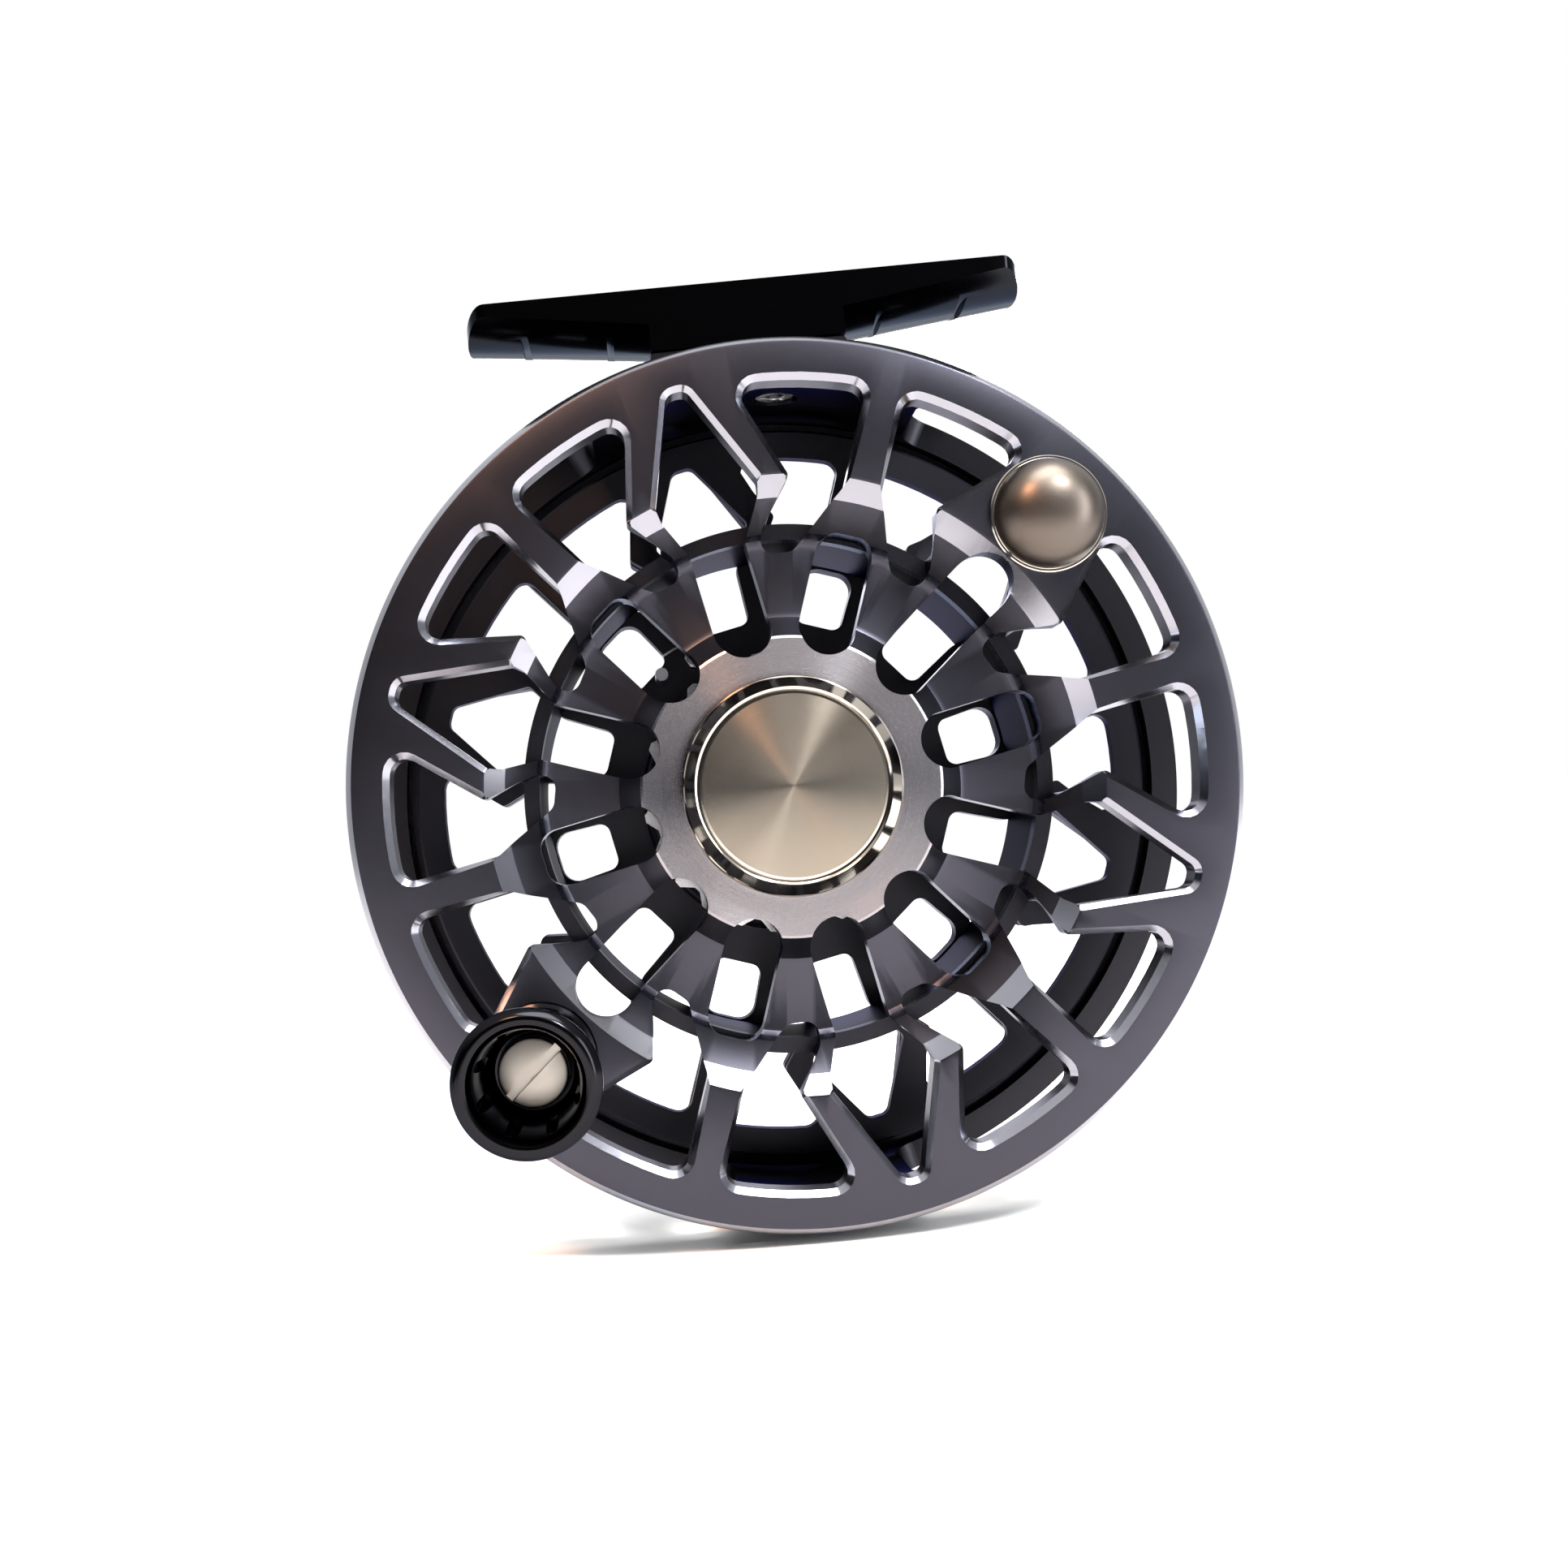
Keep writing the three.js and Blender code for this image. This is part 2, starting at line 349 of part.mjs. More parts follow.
// ---- scene graph ----
const group = new THREE.Group();
const reel = new THREE.Group();
reel.position.set(0, -FOOT_Y, -SEAT_Z);
group.add(reel);
const MAT = {
  gunmetal: [0x5a5561, 0.32, 0.9], frame: [0x2c2b31, 0.35, 0.9], black: [0x0b0b0c, 0.18, 0.6], steel: [0xb9b9bc, 0.28, 1],
  champagne: [0x9c8c78, 0.25, 1], nickel: [0xa9a39a, 0.3, 1], carbon: [0x202022, 0.6, 0.1], bronze: [0x9a7442, 0.4, 1], rubber: [0x101010, 0.8, 0],
  delrin: [0xd8d4c8, 0.5, 0],
};
function node(name, m, mat) {
  const [color, roughness, metalness] = MAT[mat];
  const mesh = new THREE.Mesh(geometryOf(m), new THREE.MeshStandardMaterial({ color, roughness, metalness }));
  mesh.name = name;
  reel.add(mesh);
}
node("frame", frame, "frame");
node("reel_foot", reelFoot, "black");
node("foot_screw_left", footScrew(footScrewX[0]), "steel");
node("foot_screw_right", footScrew(footScrewX[1]), "steel");
node("spool", spool, "gunmetal");
node("spool_cap", spoolCap, "champagne");
node("spool_cap_retainer", capRetainer, "steel");
node("counterweight", counterweight, "champagne");
node("counterweight_screw", counterweightScrew, "steel");
node("handle_post", handlePost, "steel");
node("handle_post_screw", handleScrewRear, "steel");
node("handle_bushing_outer", bushOuter, "bronze");
node("handle_bushing_inner", bushInner, "bronze");
node("handle_knob", handleKnob, "black");
node("handle_screw", handleScrew, "nickel");
node("spindle", spindle, "steel");
node("drag_housing", dragHousing, "frame");
housingScrewAt.forEach((p, i) => node("housing_screw_" + (i + 1), housingScrew(p), "steel"));
node("drag_hub", dragHub, "steel");
node("hub_seal", hubSeal, "rubber");
node("hub_bearing_front", bearingFront, "steel");
node("hub_bearing_rear", bearingRear, "steel");
node("one_way_clutch", clutch, "steel");
node("drag_disc_carbon_front", discCarbonFront, "carbon");
node("drag_disc_steel", discSteel, "steel");
node("drag_disc_carbon_rear", discCarbonRear, "carbon");
node("pressure_plate", pressurePlate, "frame");
node("spring_washer_inner", springWasherIn, "steel");
node("spring_washer_outer", springWasherOut, "steel");
node("cover_seal", coverSeal, "rubber");
node("drag_cover", dragCover, "frame");
node("detent_spring", detentSpring, "steel");
node("detent_ball", detentBall, "steel");
node("drag_adjust_nut", adjustNut, "bronze");
node("drag_knob", dragKnob, "black");
node("drag_knob_retainer", knobRetainer, "steel");
node("click_gear", clickGear, "steel");
node("click_pawl", clickPawl, "steel");
node("click_pawl_pin", pawlPin, "steel");
node("click_spring_post", springPost, "steel");
node("click_spring", clickSpring, "steel");

export default group;
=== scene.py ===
import bpy, bmesh, json
from math import sin, cos, pi, radians, hypot, atan2, acos, tan, sqrt
from mathutils import Vector, Matrix

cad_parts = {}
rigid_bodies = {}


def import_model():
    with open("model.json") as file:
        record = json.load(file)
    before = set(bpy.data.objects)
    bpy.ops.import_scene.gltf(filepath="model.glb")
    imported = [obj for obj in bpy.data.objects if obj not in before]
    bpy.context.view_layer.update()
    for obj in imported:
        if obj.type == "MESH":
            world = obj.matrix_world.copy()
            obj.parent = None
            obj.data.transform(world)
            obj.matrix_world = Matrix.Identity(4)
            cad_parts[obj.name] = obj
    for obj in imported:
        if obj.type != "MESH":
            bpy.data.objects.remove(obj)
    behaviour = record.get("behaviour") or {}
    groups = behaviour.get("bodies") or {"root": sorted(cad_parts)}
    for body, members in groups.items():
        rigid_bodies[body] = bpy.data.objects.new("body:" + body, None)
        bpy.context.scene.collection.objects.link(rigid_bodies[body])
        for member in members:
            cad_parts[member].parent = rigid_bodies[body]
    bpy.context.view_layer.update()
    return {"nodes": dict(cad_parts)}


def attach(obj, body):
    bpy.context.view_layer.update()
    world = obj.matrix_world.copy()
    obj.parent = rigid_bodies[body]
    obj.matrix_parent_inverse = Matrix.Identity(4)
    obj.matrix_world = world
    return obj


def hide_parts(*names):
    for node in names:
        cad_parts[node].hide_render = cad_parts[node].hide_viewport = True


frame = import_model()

# The reel is written in millimetres with the spool axis on +Y through (0, 0) and the handle side at y = 0,
# then moved to the part's frame: the origin is the seat in the middle of the foot.
FOOT_Y, SEAT_Z = 14.0, 56.5
def W(x, y, z):
    return (x / 1000.0, (y - FOOT_Y) / 1000.0, (z - SEAT_Z) / 1000.0)
AXIS = Vector(W(0, 0, 0))
SECTOR0 = 41.6
BOSS_R = 40.4
SLOT = 3.27
wx, wz = BOSS_R * cos(radians(SECTOR0)), BOSS_R * sin(radians(SECTOR0))
hx, hz = BOSS_R * cos(radians(SECTOR0 + 180)), BOSS_R * sin(radians(SECTOR0 + 180))

# ------------------------------------------------------------------ mesh helpers (millimetres in, metres out)
def mesh_of(name, verts, faces):
    me = bpy.data.meshes.new(name)
    me.from_pydata([W(*v) for v in verts], [], faces)
    me.update()
    return me

def link(name, me):
    ob = bpy.data.objects.new(name, me)
    bpy.context.scene.collection.objects.link(ob)
    return ob

def lathe(points, seg, cx=0.0, cz=0.0):
    """Solid of revolution about a line along Y through (cx, cz); points are (r, y)."""
    area = sum(a[0] * b[1] - b[0] * a[1] for a, b in zip(points, points[1:] + points[:1]))
    pts = points if area > 0 else points[::-1]
    verts, rows = [], []
    for r, y in pts:
        if r < 1e-6:
            rows.append([len(verts)])
            verts.append((cx, y, cz))
        else:
            rows.append(list(range(len(verts), len(verts) + seg)))
            verts += [(cx + r * cos(2 * pi * k / seg), y, cz + r * sin(2 * pi * k / seg)) for k in range(seg)]
    faces = []
    n = len(pts)
    for i in range(n):
        a, b = rows[i], rows[(i + 1) % n]
        if len(a) == 1 and len(b) == 1:
            continue
        for k in range(seg):
            k2 = (k + 1) % seg
            if len(a) == 1:
                faces.append((a[0], b[k], b[k2]))
            elif len(b) == 1:
                faces.append((a[k], b[0], a[k2]))
            else:
                faces.append((a[k], b[k], b[k2], a[k2]))
    return verts, faces

def ring_of(ri, ro, y0, y1, seg, c=0.0, cx=0.0, cz=0.0):
    if c:
        pts = [(ri, y0 + c), (ri + c, y0), (ro - c, y0), (ro, y0 + c), (ro, y1 - c), (ro - c, y1), (ri + c, y1), (ri, y1 - c)]
    else:
        pts = [(ri, y0), (ro, y0), (ro, y1), (ri, y1)]
    return lathe(pts, seg, cx, cz)

def disc_of(r, y0, y1, seg, c=0.0, cx=0.0, cz=0.0):
    return lathe([(0, y0), (r - c, y0), (r, y0 + c), (r, y1 - c), (r - c, y1), (0, y1)], seg, cx, cz)

def loft(sections):
    """Closed solid through equal-length XZ outlines [(outline, y), ...]."""
    n = len(sections[0][0])
    verts, faces = [], []
    for o, y in sections:
        verts += [(p[0], y, p[1]) for p in o]
    for s in range(len(sections) - 1):
        a, b = s * n, (s + 1) * n
        for k in range(n):
            k2 = (k + 1) % n
            faces.append((a + k, a + k2, b + k2, b + k))
    faces.append(tuple(range(n))[::-1])
    faces.append(tuple(range((len(sections) - 1) * n, len(sections) * n)))
    return verts, faces

def merged(parts):
    verts, faces = [], []
    for v, f in parts:
        o = len(verts)
        verts += v
        faces += [tuple(i + o for i in t) for t in f]
    return verts, faces

def fixed(me):
    bm = bmesh.new()
    bm.from_mesh(me)
    bmesh.ops.recalc_face_normals(bm, faces=bm.faces)
    bm.to_mesh(me)
    bm.free()
    return me

def solid(name, vf):
    return link(name, fixed(mesh_of(name, *vf)))

def boolean(ob, cutters, op="DIFFERENCE"):
    """Cut or join ob with one temporary solid at a time, then keep the result as plain mesh."""
    for vf in cutters:
        c = solid("cutter", vf)
        m = ob.modifiers.new("b", "BOOLEAN")
        m.operation, m.solver, m.object = op, "MANIFOLD", c
        bpy.context.view_layer.update()
        dg = bpy.context.evaluated_depsgraph_get()
        me = bpy.data.meshes.new_from_object(ob.evaluated_get(dg))
        ob.modifiers.clear()
        bm = bmesh.new()
        bm.from_mesh(me)
        bmesh.ops.triangulate(bm, faces=[f for f in bm.faces if len(f.verts) > 4])
        bm.to_mesh(me)
        bm.free()
        old = ob.data
        ob.data = me
        bpy.data.meshes.remove(old)
        cm = c.data
        bpy.data.objects.remove(c)
        bpy.data.meshes.remove(cm)
    ob.data.name = ob.name
    return ob

def clean(ob, dist=0.00001, dissolve=0.0):
    bm = bmesh.new()
    bm.from_mesh(ob.data)
    bmesh.ops.remove_doubles(bm, verts=bm.verts, dist=dist)
    if dissolve:
        bmesh.ops.dissolve_limit(bm, angle_limit=radians(dissolve), verts=bm.verts, edges=bm.edges)
    bmesh.ops.recalc_face_normals(bm, faces=bm.faces)
    bm.to_mesh(ob.data)
    bm.free()

def smooth(ob, deg=32):
    me = ob.data
    me.shade_smooth()
    me.set_sharp_from_angle(angle=radians(deg))

def bevel(ob, width_mm, segments=2, deg=35, profile=0.5):
    m = ob.modifiers.new("edge", "BEVEL")
    m.width = width_mm / 1000.0
    m.segments = segments
    m.limit_method = "ANGLE"
    m.angle_limit = radians(deg)
    m.use_clamp_overlap = True
    m.harden_normals = False
    m.miter_outer = "MITER_ARC"
    m.profile = profile
    return m

def baked(ob):
    bpy.context.view_layer.update()
    dg = bpy.context.evaluated_depsgraph_get()
    me = bpy.data.meshes.new_from_object(ob.evaluated_get(dg))
    ob.modifiers.clear()
    ob.data = me
    me.name = ob.name
    return ob

# ------------------------------------------------------------------ 2-D outlines
def polar(r, a):
    return (r * cos(radians(a)), r * sin(radians(a)))

def arc(cx, cy, r, a0, a1, n):
    return [(cx + r * cos(radians(a0 + (a1 - a0) * i / n)), cy + r * sin(radians(a0 + (a1 - a0) * i / n))) for i in range(n + 1)]

def filleted(pts, radii, n=6):
    out = []
    m = len(pts)
    for i in range(m):
        P, A, B = Vector(pts[i]), Vector(pts[i - 1]), Vector(pts[(i + 1) % m])
        r = radii[i]
        if not r:
            out.append(tuple(P))
            continue
        u, v = (A - P).normalized(), (B - P).normalized()
        th = acos(max(-1, min(1, u.dot(v))))
        t = r / tan(th / 2)
        p0, p1 = P + u * t, P + v * t
        c = P + (u + v).normalized() * (r / sin(th / 2))
        a0 = atan2(p0.y - c.y, p0.x - c.x)
        d = (atan2(p1.y - c.y, p1.x - c.x) - a0 + pi) % (2 * pi) - pi
        out += [(c.x + r * cos(a0 + d * k / n), c.y + r * sin(a0 + d * k / n)) for k in range(n + 1)]
    return out

def spun(o, deg, mirror=False):
    c, s = cos(radians(deg)), sin(radians(deg))
    q = [(u * c - (-v if mirror else v) * s, u * s + (-v if mirror else v) * c) for u, v in o]
    return q[::-1] if mirror else q

def tidy(o):
    q = [p for i, p in enumerate(o) if hypot(p[0] - o[(i + 1) % len(o)][0], p[1] - o[(i + 1) % len(o)][1]) > 2e-3]
    return q

def ccw(o):
    a = sum(p[0] * q[1] - q[0] * p[1] for p, q in zip(o, o[1:] + o[:1]))
    return o if a > 0 else o[::-1]

def offset(o, amount):
    """Offset a counter-clockwise outline outward; amount is a function of the point."""
    n = len(o)
    out = []
    for i in range(n):
        A, P, B = Vector(o[i - 1]), Vector(o[i]), Vector(o[(i + 1) % n])
        d1, d2 = (P - A).normalized(), (B - P).normalized()
        n1, n2 = Vector((d1.y, -d1.x)), Vector((d2.y, -d2.x))
        b = n1 + n2
        k = amount(P) / max(0.5, (b.length_squared / 2)) if b.length > 1e-6 else 0
        out.append(tuple(P + b * k))
    return out

def wide_outline(ro, fr=6):
    pts = [polar(ro, 7.9)] + [polar(ro, a) for a in (12.4, 15, 18, 21, 23.6)] + [polar(ro, 27.25), (29.94, 14.93), (28.75, 12.9), (27.26, 10.57),
           (25.75, 8.2), (26.3, 4.5), (28.76, 5.28), (31.4, 7.9), (32.86, 9.34)]
    rad = [1.7, 0, 0, 0, 0, 0, 1.7, 1.2, 0, 0.8, 1.6, 1.5, 1.4, 0, 0.7]
    return filleted(pts, rad, fr)

def slot_outline():
    return arc(18.57, 0, SLOT, 270, 90, 20) + filleted([(26.4, SLOT + 0.02), (29.2, SLOT), (29.2, -SLOT), (26.4, -SLOT - 0.02)], [0, 2.15, 2.15, 0], 8)

def boss_slot_outline():
    return arc(18.57, 0, SLOT, 270, 90, 20) + arc(30.55, 0, 3.35, 90, -90, 20)

def narrow_outline(ro):
    h = [(28.3, SLOT), (31.9, 5.55), (33.4, 5.85), (ro, 1.1)]
    body = [(24, SLOT + 0.01)] + h + [(u, -v) for u, v in h[::-1]] + [(24, -SLOT - 0.01)]
    return arc(18.57, 0, SLOT, 270, 90, 20) + filleted(body, [0, 0.8, 1.5, 0.8, 1.25, 1.25, 0.8, 1.5, 0.8, 0], 5)

def back_kite(ro, ri):
    h = [(ri, 2.9), (28.6, SLOT), (33.1, 5.9), (ro, 1.2)]
    return filleted(h + [(u, -v) for u, v in h[::-1]], [1.3, 3.0, 0.8, 1.2, 1.2, 0.8, 3.0, 1.3], 6)

def back_slot(ri, ro):
    return filleted([(ri, 2.9), (ro, SLOT), (ro, -SLOT), (ri, -2.9)], [1.3, 2.0, 2.0, 1.3], 6)

def port(outline, y0, y1, chamfer=0.0, inner=34.4, back=0.0):
    """Cutter for one port: straight walls, with a 45 degree chamfer at y = y0 side (the face is at y0 + 1)."""
    o = ccw(tidy(outline))
    if not chamfer:
        return loft([(o, y0), (o, y1)])
    face = y0 + 1.0
    fade = lambda p: min(1.0, max(0.02, (p.length - inner + 1.2) / 1.2))
    big = offset(o, lambda p: (chamfer + 0.02) * fade(p))
    small = offset(o, lambda p: 0.0)
    return loft([(big, y0), (big, face - 0.02), (small, face + chamfer), (small, y1)])

def port_back(outline, y0, y1, chamfer, inner=30.0):
    """Cutter whose chamfer is on the far face, at y1 - 1."""
    o = ccw(tidy(outline))
    face = y1 - 1.0
    big = offset(o, lambda p: chamfer + 0.02)
    return loft([(o, y0), (o, face - chamfer), (big, face + 0.02), (big, y1)])

# ------------------------------------------------------------------ materials
def new_mat(name):
    m = bpy.data.materials.new(name)
    m.use_nodes = True
    nt = m.node_tree
    b = nt.nodes["Principled BSDF"]
    return m, nt, b

def node(nt, kind, **kw):
    n = nt.nodes.new(kind)
    for k, v in kw.items():
        setattr(n, k, v)
    return n

def mathn(nt, op, a, b=None, clamp=False):
    n = node(nt, "ShaderNodeMath", operation=op, use_clamp=clamp)
    for i, v in enumerate((a, b)):
        if v is None:
            continue
        if isinstance(v, (int, float)):
            n.inputs[i].default_value = v
        else:
            nt.links.new(v, n.inputs[i])
    return n.outputs[0]

def radius_out(nt, cx=0.0, cz=0.0):
    """Distance from a line along Y, in millimetres."""
    tc = node(nt, "ShaderNodeTexCoord")
    sx = node(nt, "ShaderNodeSeparateXYZ")
    nt.links.new(tc.outputs["Object"], sx.inputs[0])
    ox, _, oz = W(cx, 0, cz)
    x = mathn(nt, "SUBTRACT", sx.outputs[0], ox)
    z = mathn(nt, "SUBTRACT", sx.outputs[2], oz)
    r2 = mathn(nt, "ADD", mathn(nt, "MULTIPLY", x, x), mathn(nt, "MULTIPLY", z, z))
    r = mathn(nt, "SQRT", r2)
    return mathn(nt, "MULTIPLY", r, 1000.0), tc, sx

def ramp(nt, fac, stops):
    n = node(nt, "ShaderNodeValToRGB")
    el = n.color_ramp.elements
    while len(el) < len(stops):
        el.new(0.5)
    for e, (p, c) in zip(el, stops):
        e.position = p
        e.color = (c, c, c, 1) if isinstance(c, float) else (*c, 1)
    nt.links.new(fac, n.inputs[0])
    return n.outputs[0]

def metal(name, color, rough, aniso=0.0, turned=0.0, cx=0.0, cz=0.0, grain=0.03, dark=0.92, scale=900.0, spec_tint=None, wear=0.0, coat=0.0, rot=0.0, metallic=1.0, line_scale=9.0, bump=0.25):
    """Anodised or bare machined metal: turning marks round the axis, fine grain, slow tone changes."""
    m, nt, b = new_mat(name)
    b.inputs["Metallic"].default_value = metallic
    tc = node(nt, "ShaderNodeTexCoord")
    # slow tone changes
    n1 = node(nt, "ShaderNodeTexNoise")
    n1.inputs["Scale"].default_value = 22.0
    n1.inputs["Detail"].default_value = 3.0
    nt.links.new(tc.outputs["Object"], n1.inputs["Vector"])
    mix = node(nt, "ShaderNodeMix", data_type="RGBA")
    mix.inputs[6].default_value = (*[c * dark for c in color], 1)
    mix.inputs[7].default_value = (*color, 1)
    nt.links.new(ramp(nt, n1.outputs[0], [(0.3, 0.0), (0.7, 1.0)]), mix.inputs[0])
    col = mix.outputs[2]
    # fine grain
    n2 = node(nt, "ShaderNodeTexNoise")
    n2.inputs["Scale"].default_value = scale * 4
    n2.inputs["Detail"].default_value = 2.0
    nt.links.new(tc.outputs["Object"], n2.inputs["Vector"])
    r_lo, r_hi = max(0.03, rough - grain), rough + grain
    mr = node(nt, "ShaderNodeMapRange")
    mr.inputs["To Min"].default_value = r_lo
    mr.inputs["To Max"].default_value = r_hi
    mixf = mathn(nt, "ADD", mathn(nt, "MULTIPLY", n1.outputs[0], 0.25), mathn(nt, "MULTIPLY", n2.outputs[0], 0.75))
    nt.links.new(mixf, mr.inputs["Value"])
    rough_out = mr.outputs[0]
    height = mathn(nt, "MULTIPLY", n2.outputs[0], 0.25)
    if turned:
        r, tc2, _ = radius_out(nt, cx, cz)
        w = node(nt, "ShaderNodeTexNoise", noise_dimensions="1D")
        w.inputs["Scale"].default_value = line_scale
        w.inputs["Detail"].default_value = 4.0
        w.inputs["Roughness"].default_value = 0.75
        nt.links.new(r, w.inputs["W"])
        height = mathn(nt, "ADD", height, mathn(nt, "MULTIPLY", w.outputs[0], turned))
        rough_out = mathn(nt, "ADD", rough_out, mathn(nt, "MULTIPLY", mathn(nt, "SUBTRACT", w.outputs[0], 0.5), 0.10 * turned))
    if wear:
        geo = node(nt, "ShaderNodeNewGeometry")
        edge = ramp(nt, geo.outputs["Pointiness"], [(0.55, 0.0), (0.66, 1.0)])
        n3 = node(nt, "ShaderNodeTexNoise")
        n3.inputs["Scale"].default_value = 700.0
        n3.inputs["Detail"].default_value = 5.0
        nt.links.new(tc.outputs["Object"], n3.inputs["Vector"])
        fac = mathn(nt, "MULTIPLY", mathn(nt, "MULTIPLY", edge, ramp(nt, n3.outputs[0], [(0.45, 0.0), (0.62, 1.0)])), wear)
        mw = node(nt, "ShaderNodeMix", data_type="RGBA")
        mw.inputs[7].default_value = (0.55, 0.54, 0.55, 1)
        nt.links.new(fac, mw.inputs[0])
        nt.links.new(col, mw.inputs[6])
        col = mw.outputs[2]
    nt.links.new(col, b.inputs["Base Color"])
    nt.links.new(rough_out, b.inputs["Roughness"])
    bp = node(nt, "ShaderNodeBump")
    bp.inputs["Strength"].default_value = bump
    bp.inputs["Distance"].default_value = 0.00002
    nt.links.new(height, bp.inputs["Height"])
    nt.links.new(bp.outputs[0], b.inputs["Normal"])
    if aniso:
        b.inputs["Anisotropic"].default_value = aniso
        b.inputs["Anisotropic Rotation"].default_value = rot
        tg = node(nt, "ShaderNodeTangent", direction_type="RADIAL", axis="Y")
        nt.links.new(tg.outputs[0], b.inputs["Tangent"])
    if spec_tint:
        b.inputs["Specular Tint"].default_value = (*spec_tint, 1)
    if coat:
        b.inputs["Coat Weight"].default_value = coat
        b.inputs["Coat Roughness"].default_value = 0.06
    return m

def soft_mat(name, color, rough, scale=1500.0, bump=0.3, metallic=0.0, dist=0.00004):
    m, nt, b = new_mat(name)
    tc = node(nt, "ShaderNodeTexCoord")
    n = node(nt, "ShaderNodeTexNoise")
    n.inputs["Scale"].default_value = scale
    n.inputs["Detail"].default_value = 4.0
    nt.links.new(tc.outputs["Object"], n.inputs["Vector"])
    mix = node(nt, "ShaderNodeMix", data_type="RGBA")
    mix.inputs[6].default_value = (*[c * 0.75 for c in color], 1)
    mix.inputs[7].default_value = (*[min(1, c * 1.2) for c in color], 1)
    nt.links.new(n.outputs[0], mix.inputs[0])
    nt.links.new(mix.outputs[2], b.inputs["Base Color"])
    mr = node(nt, "ShaderNodeMapRange")
    mr.inputs["To Min"].default_value = rough - 0.06
    mr.inputs["To Max"].default_value = rough + 0.06
    nt.links.new(n.outputs[0], mr.inputs["Value"])
    nt.links.new(mr.outputs[0], b.inputs["Roughness"])
    b.inputs["Metallic"].default_value = metallic
    bp = node(nt, "ShaderNodeBump")
    bp.inputs["Strength"].default_value = bump
    bp.inputs["Distance"].default_value = dist
    nt.links.new(n.outputs[0], bp.inputs["Height"])
    nt.links.new(bp.outputs[0], b.inputs["Normal"])
    return m

M = {}
M["gun"] = metal("gunmetal_satin", (0.040, 0.040, 0.051), 0.31, aniso=0.25, turned=0.4, rot=0.25, spec_tint=(0.75, 0.75, 0.8))
# Port chamfers: polished, with lower roughness, and a much lighter colour than the flats as a painted highlight on the
# facets.
M["gun_polish_and_highlight"] = metal("gunmetal_bright_cut", (0.24, 0.245, 0.28), 0.16, grain=0.03)
# Port walls: a darker, duller copy of the gunmetal as painted shade inside the ports.
M["gun_wall_shade"] = metal("gunmetal_wall", (0.026, 0.028, 0.042), 0.28, grain=0.04, spec_tint=(0.45, 0.47, 0.55))
# Rear of the spool: a darker copy of the gunmetal as painted shade on the back of the reel.
M["gun_rear_shade"] = metal("gunmetal_rear", (0.020, 0.020, 0.025), 0.36, aniso=0.3, turned=0.3, rot=0.25, spec_tint=(0.4, 0.4, 0.45))
M["hub"] = metal("hub_turned", (0.24, 0.23, 0.245), 0.26, aniso=0.90, turned=1.0, line_scale=14.0, rot=0.25)
M["frame"] = metal("frame_black_anodise", (0.020, 0.020, 0.024), 0.34, grain=0.05, spec_tint=(0.4, 0.4, 0.45))
M["frame_ring"] = metal("frame_ring", (0.06, 0.058, 0.068), 0.34, aniso=0.3, turned=0.4, rot=0.25)
M["gloss"] = metal("gloss_black_anodise", (0.012, 0.012, 0.014), 0.15, grain=0.010, dark=0.97, bump=0.03, spec_tint=(0.50, 0.52, 0.56))
M["champ"] = metal("champagne_turned", (0.235, 0.208, 0.172), 0.25, aniso=0.91, turned=0.9, line_scale=16.0, rot=0.25)
M["champ_ring"] = metal("champagne_polished", (0.42, 0.385, 0.335), 0.10, grain=0.02)
M["champ_dome"] = metal("counterweight_satin", (0.085, 0.072, 0.062), 0.36, grain=0.06, turned=0.25, cx=wx, cz=wz, bump=0.4)
M["nickel"] = metal("screw_nickel", (0.30, 0.285, 0.26), 0.33, grain=0.05, turned=0.8, cx=hx, cz=hz)
M["steel"] = metal("stainless", (0.50, 0.50, 0.52), 0.24, grain=0.06, turned=0.3)
M["bronze"] = metal("bronze_bush", (0.42, 0.26, 0.10), 0.35, grain=0.06)
M["carbon"] = soft_mat("carbon_disc", (0.022, 0.022, 0.025), 0.5, 2200.0, 0.5)
M["rubber"] = soft_mat("nitrile", (0.012, 0.012, 0.012), 0.7, 1800.0, 0.2)

def put(ob, *mats):
    ob.data.materials.clear()
    for m in mats:
        ob.data.materials.append(M[m])

# ------------------------------------------------------------------ spool
RIM_T = 3.6
prof = [
    (12.75, 4.5), (12.75, 4.7), (12.75, 4.5)]
prof = [(10.1, 4.5), (16.75, 4.5), (17.05, 4.62), (19.0, 6.85), (19.5, 7.3), (20.1, 7.5), (27.2, 7.5), (27.75, 7.35), (28.3, 6.95), (28.85, 6.2),
        (32.05, 2.2), (32.35, 1.95), (34.15, 0.06), (34.4, 0.0), (48.55, 0.0), (48.75, 0.05), (49.35, 0.7), (49.5, 1.05), (49.5, 3.0), (49.3, 3.45),
        (48.9, 3.6), (32.2, 3.6), (31.1, 3.9), (30.6, 4.7), (30.5, 5.4), (30.5, 21.8), (30.8, 22.4), (31.4, 22.6), (44.5, 22.6), (44.8, 22.9),
        (44.8, 24.1), (44.5, 24.4), (28.7, 24.4), (28.7, 10.5), (14.0, 10.5), (14.0, 20.1), (13.7, 20.4), (10.1, 20.4)]
spool = solid("spool_body", lathe(prof, 288))
cuts = []
for i in range(6):
    c = SECTOR0 + 60 * i
    for mir in (False, True):
        cuts.append(port(spun(wide_outline(44.6), c, mir), -1.0, 11.2, chamfer=0.7))
    o = boss_slot_outline() if i % 3 == 0 else narrow_outline(45.1)
    cuts.append(port(spun(o, c), -1.0, 11.2, chamfer=0.0 if i % 3 == 0 else 0.6, inner=33.9))
    cuts.append(port(spun(slot_outline(), c + 30), -1.0, 11.2))
rear = []
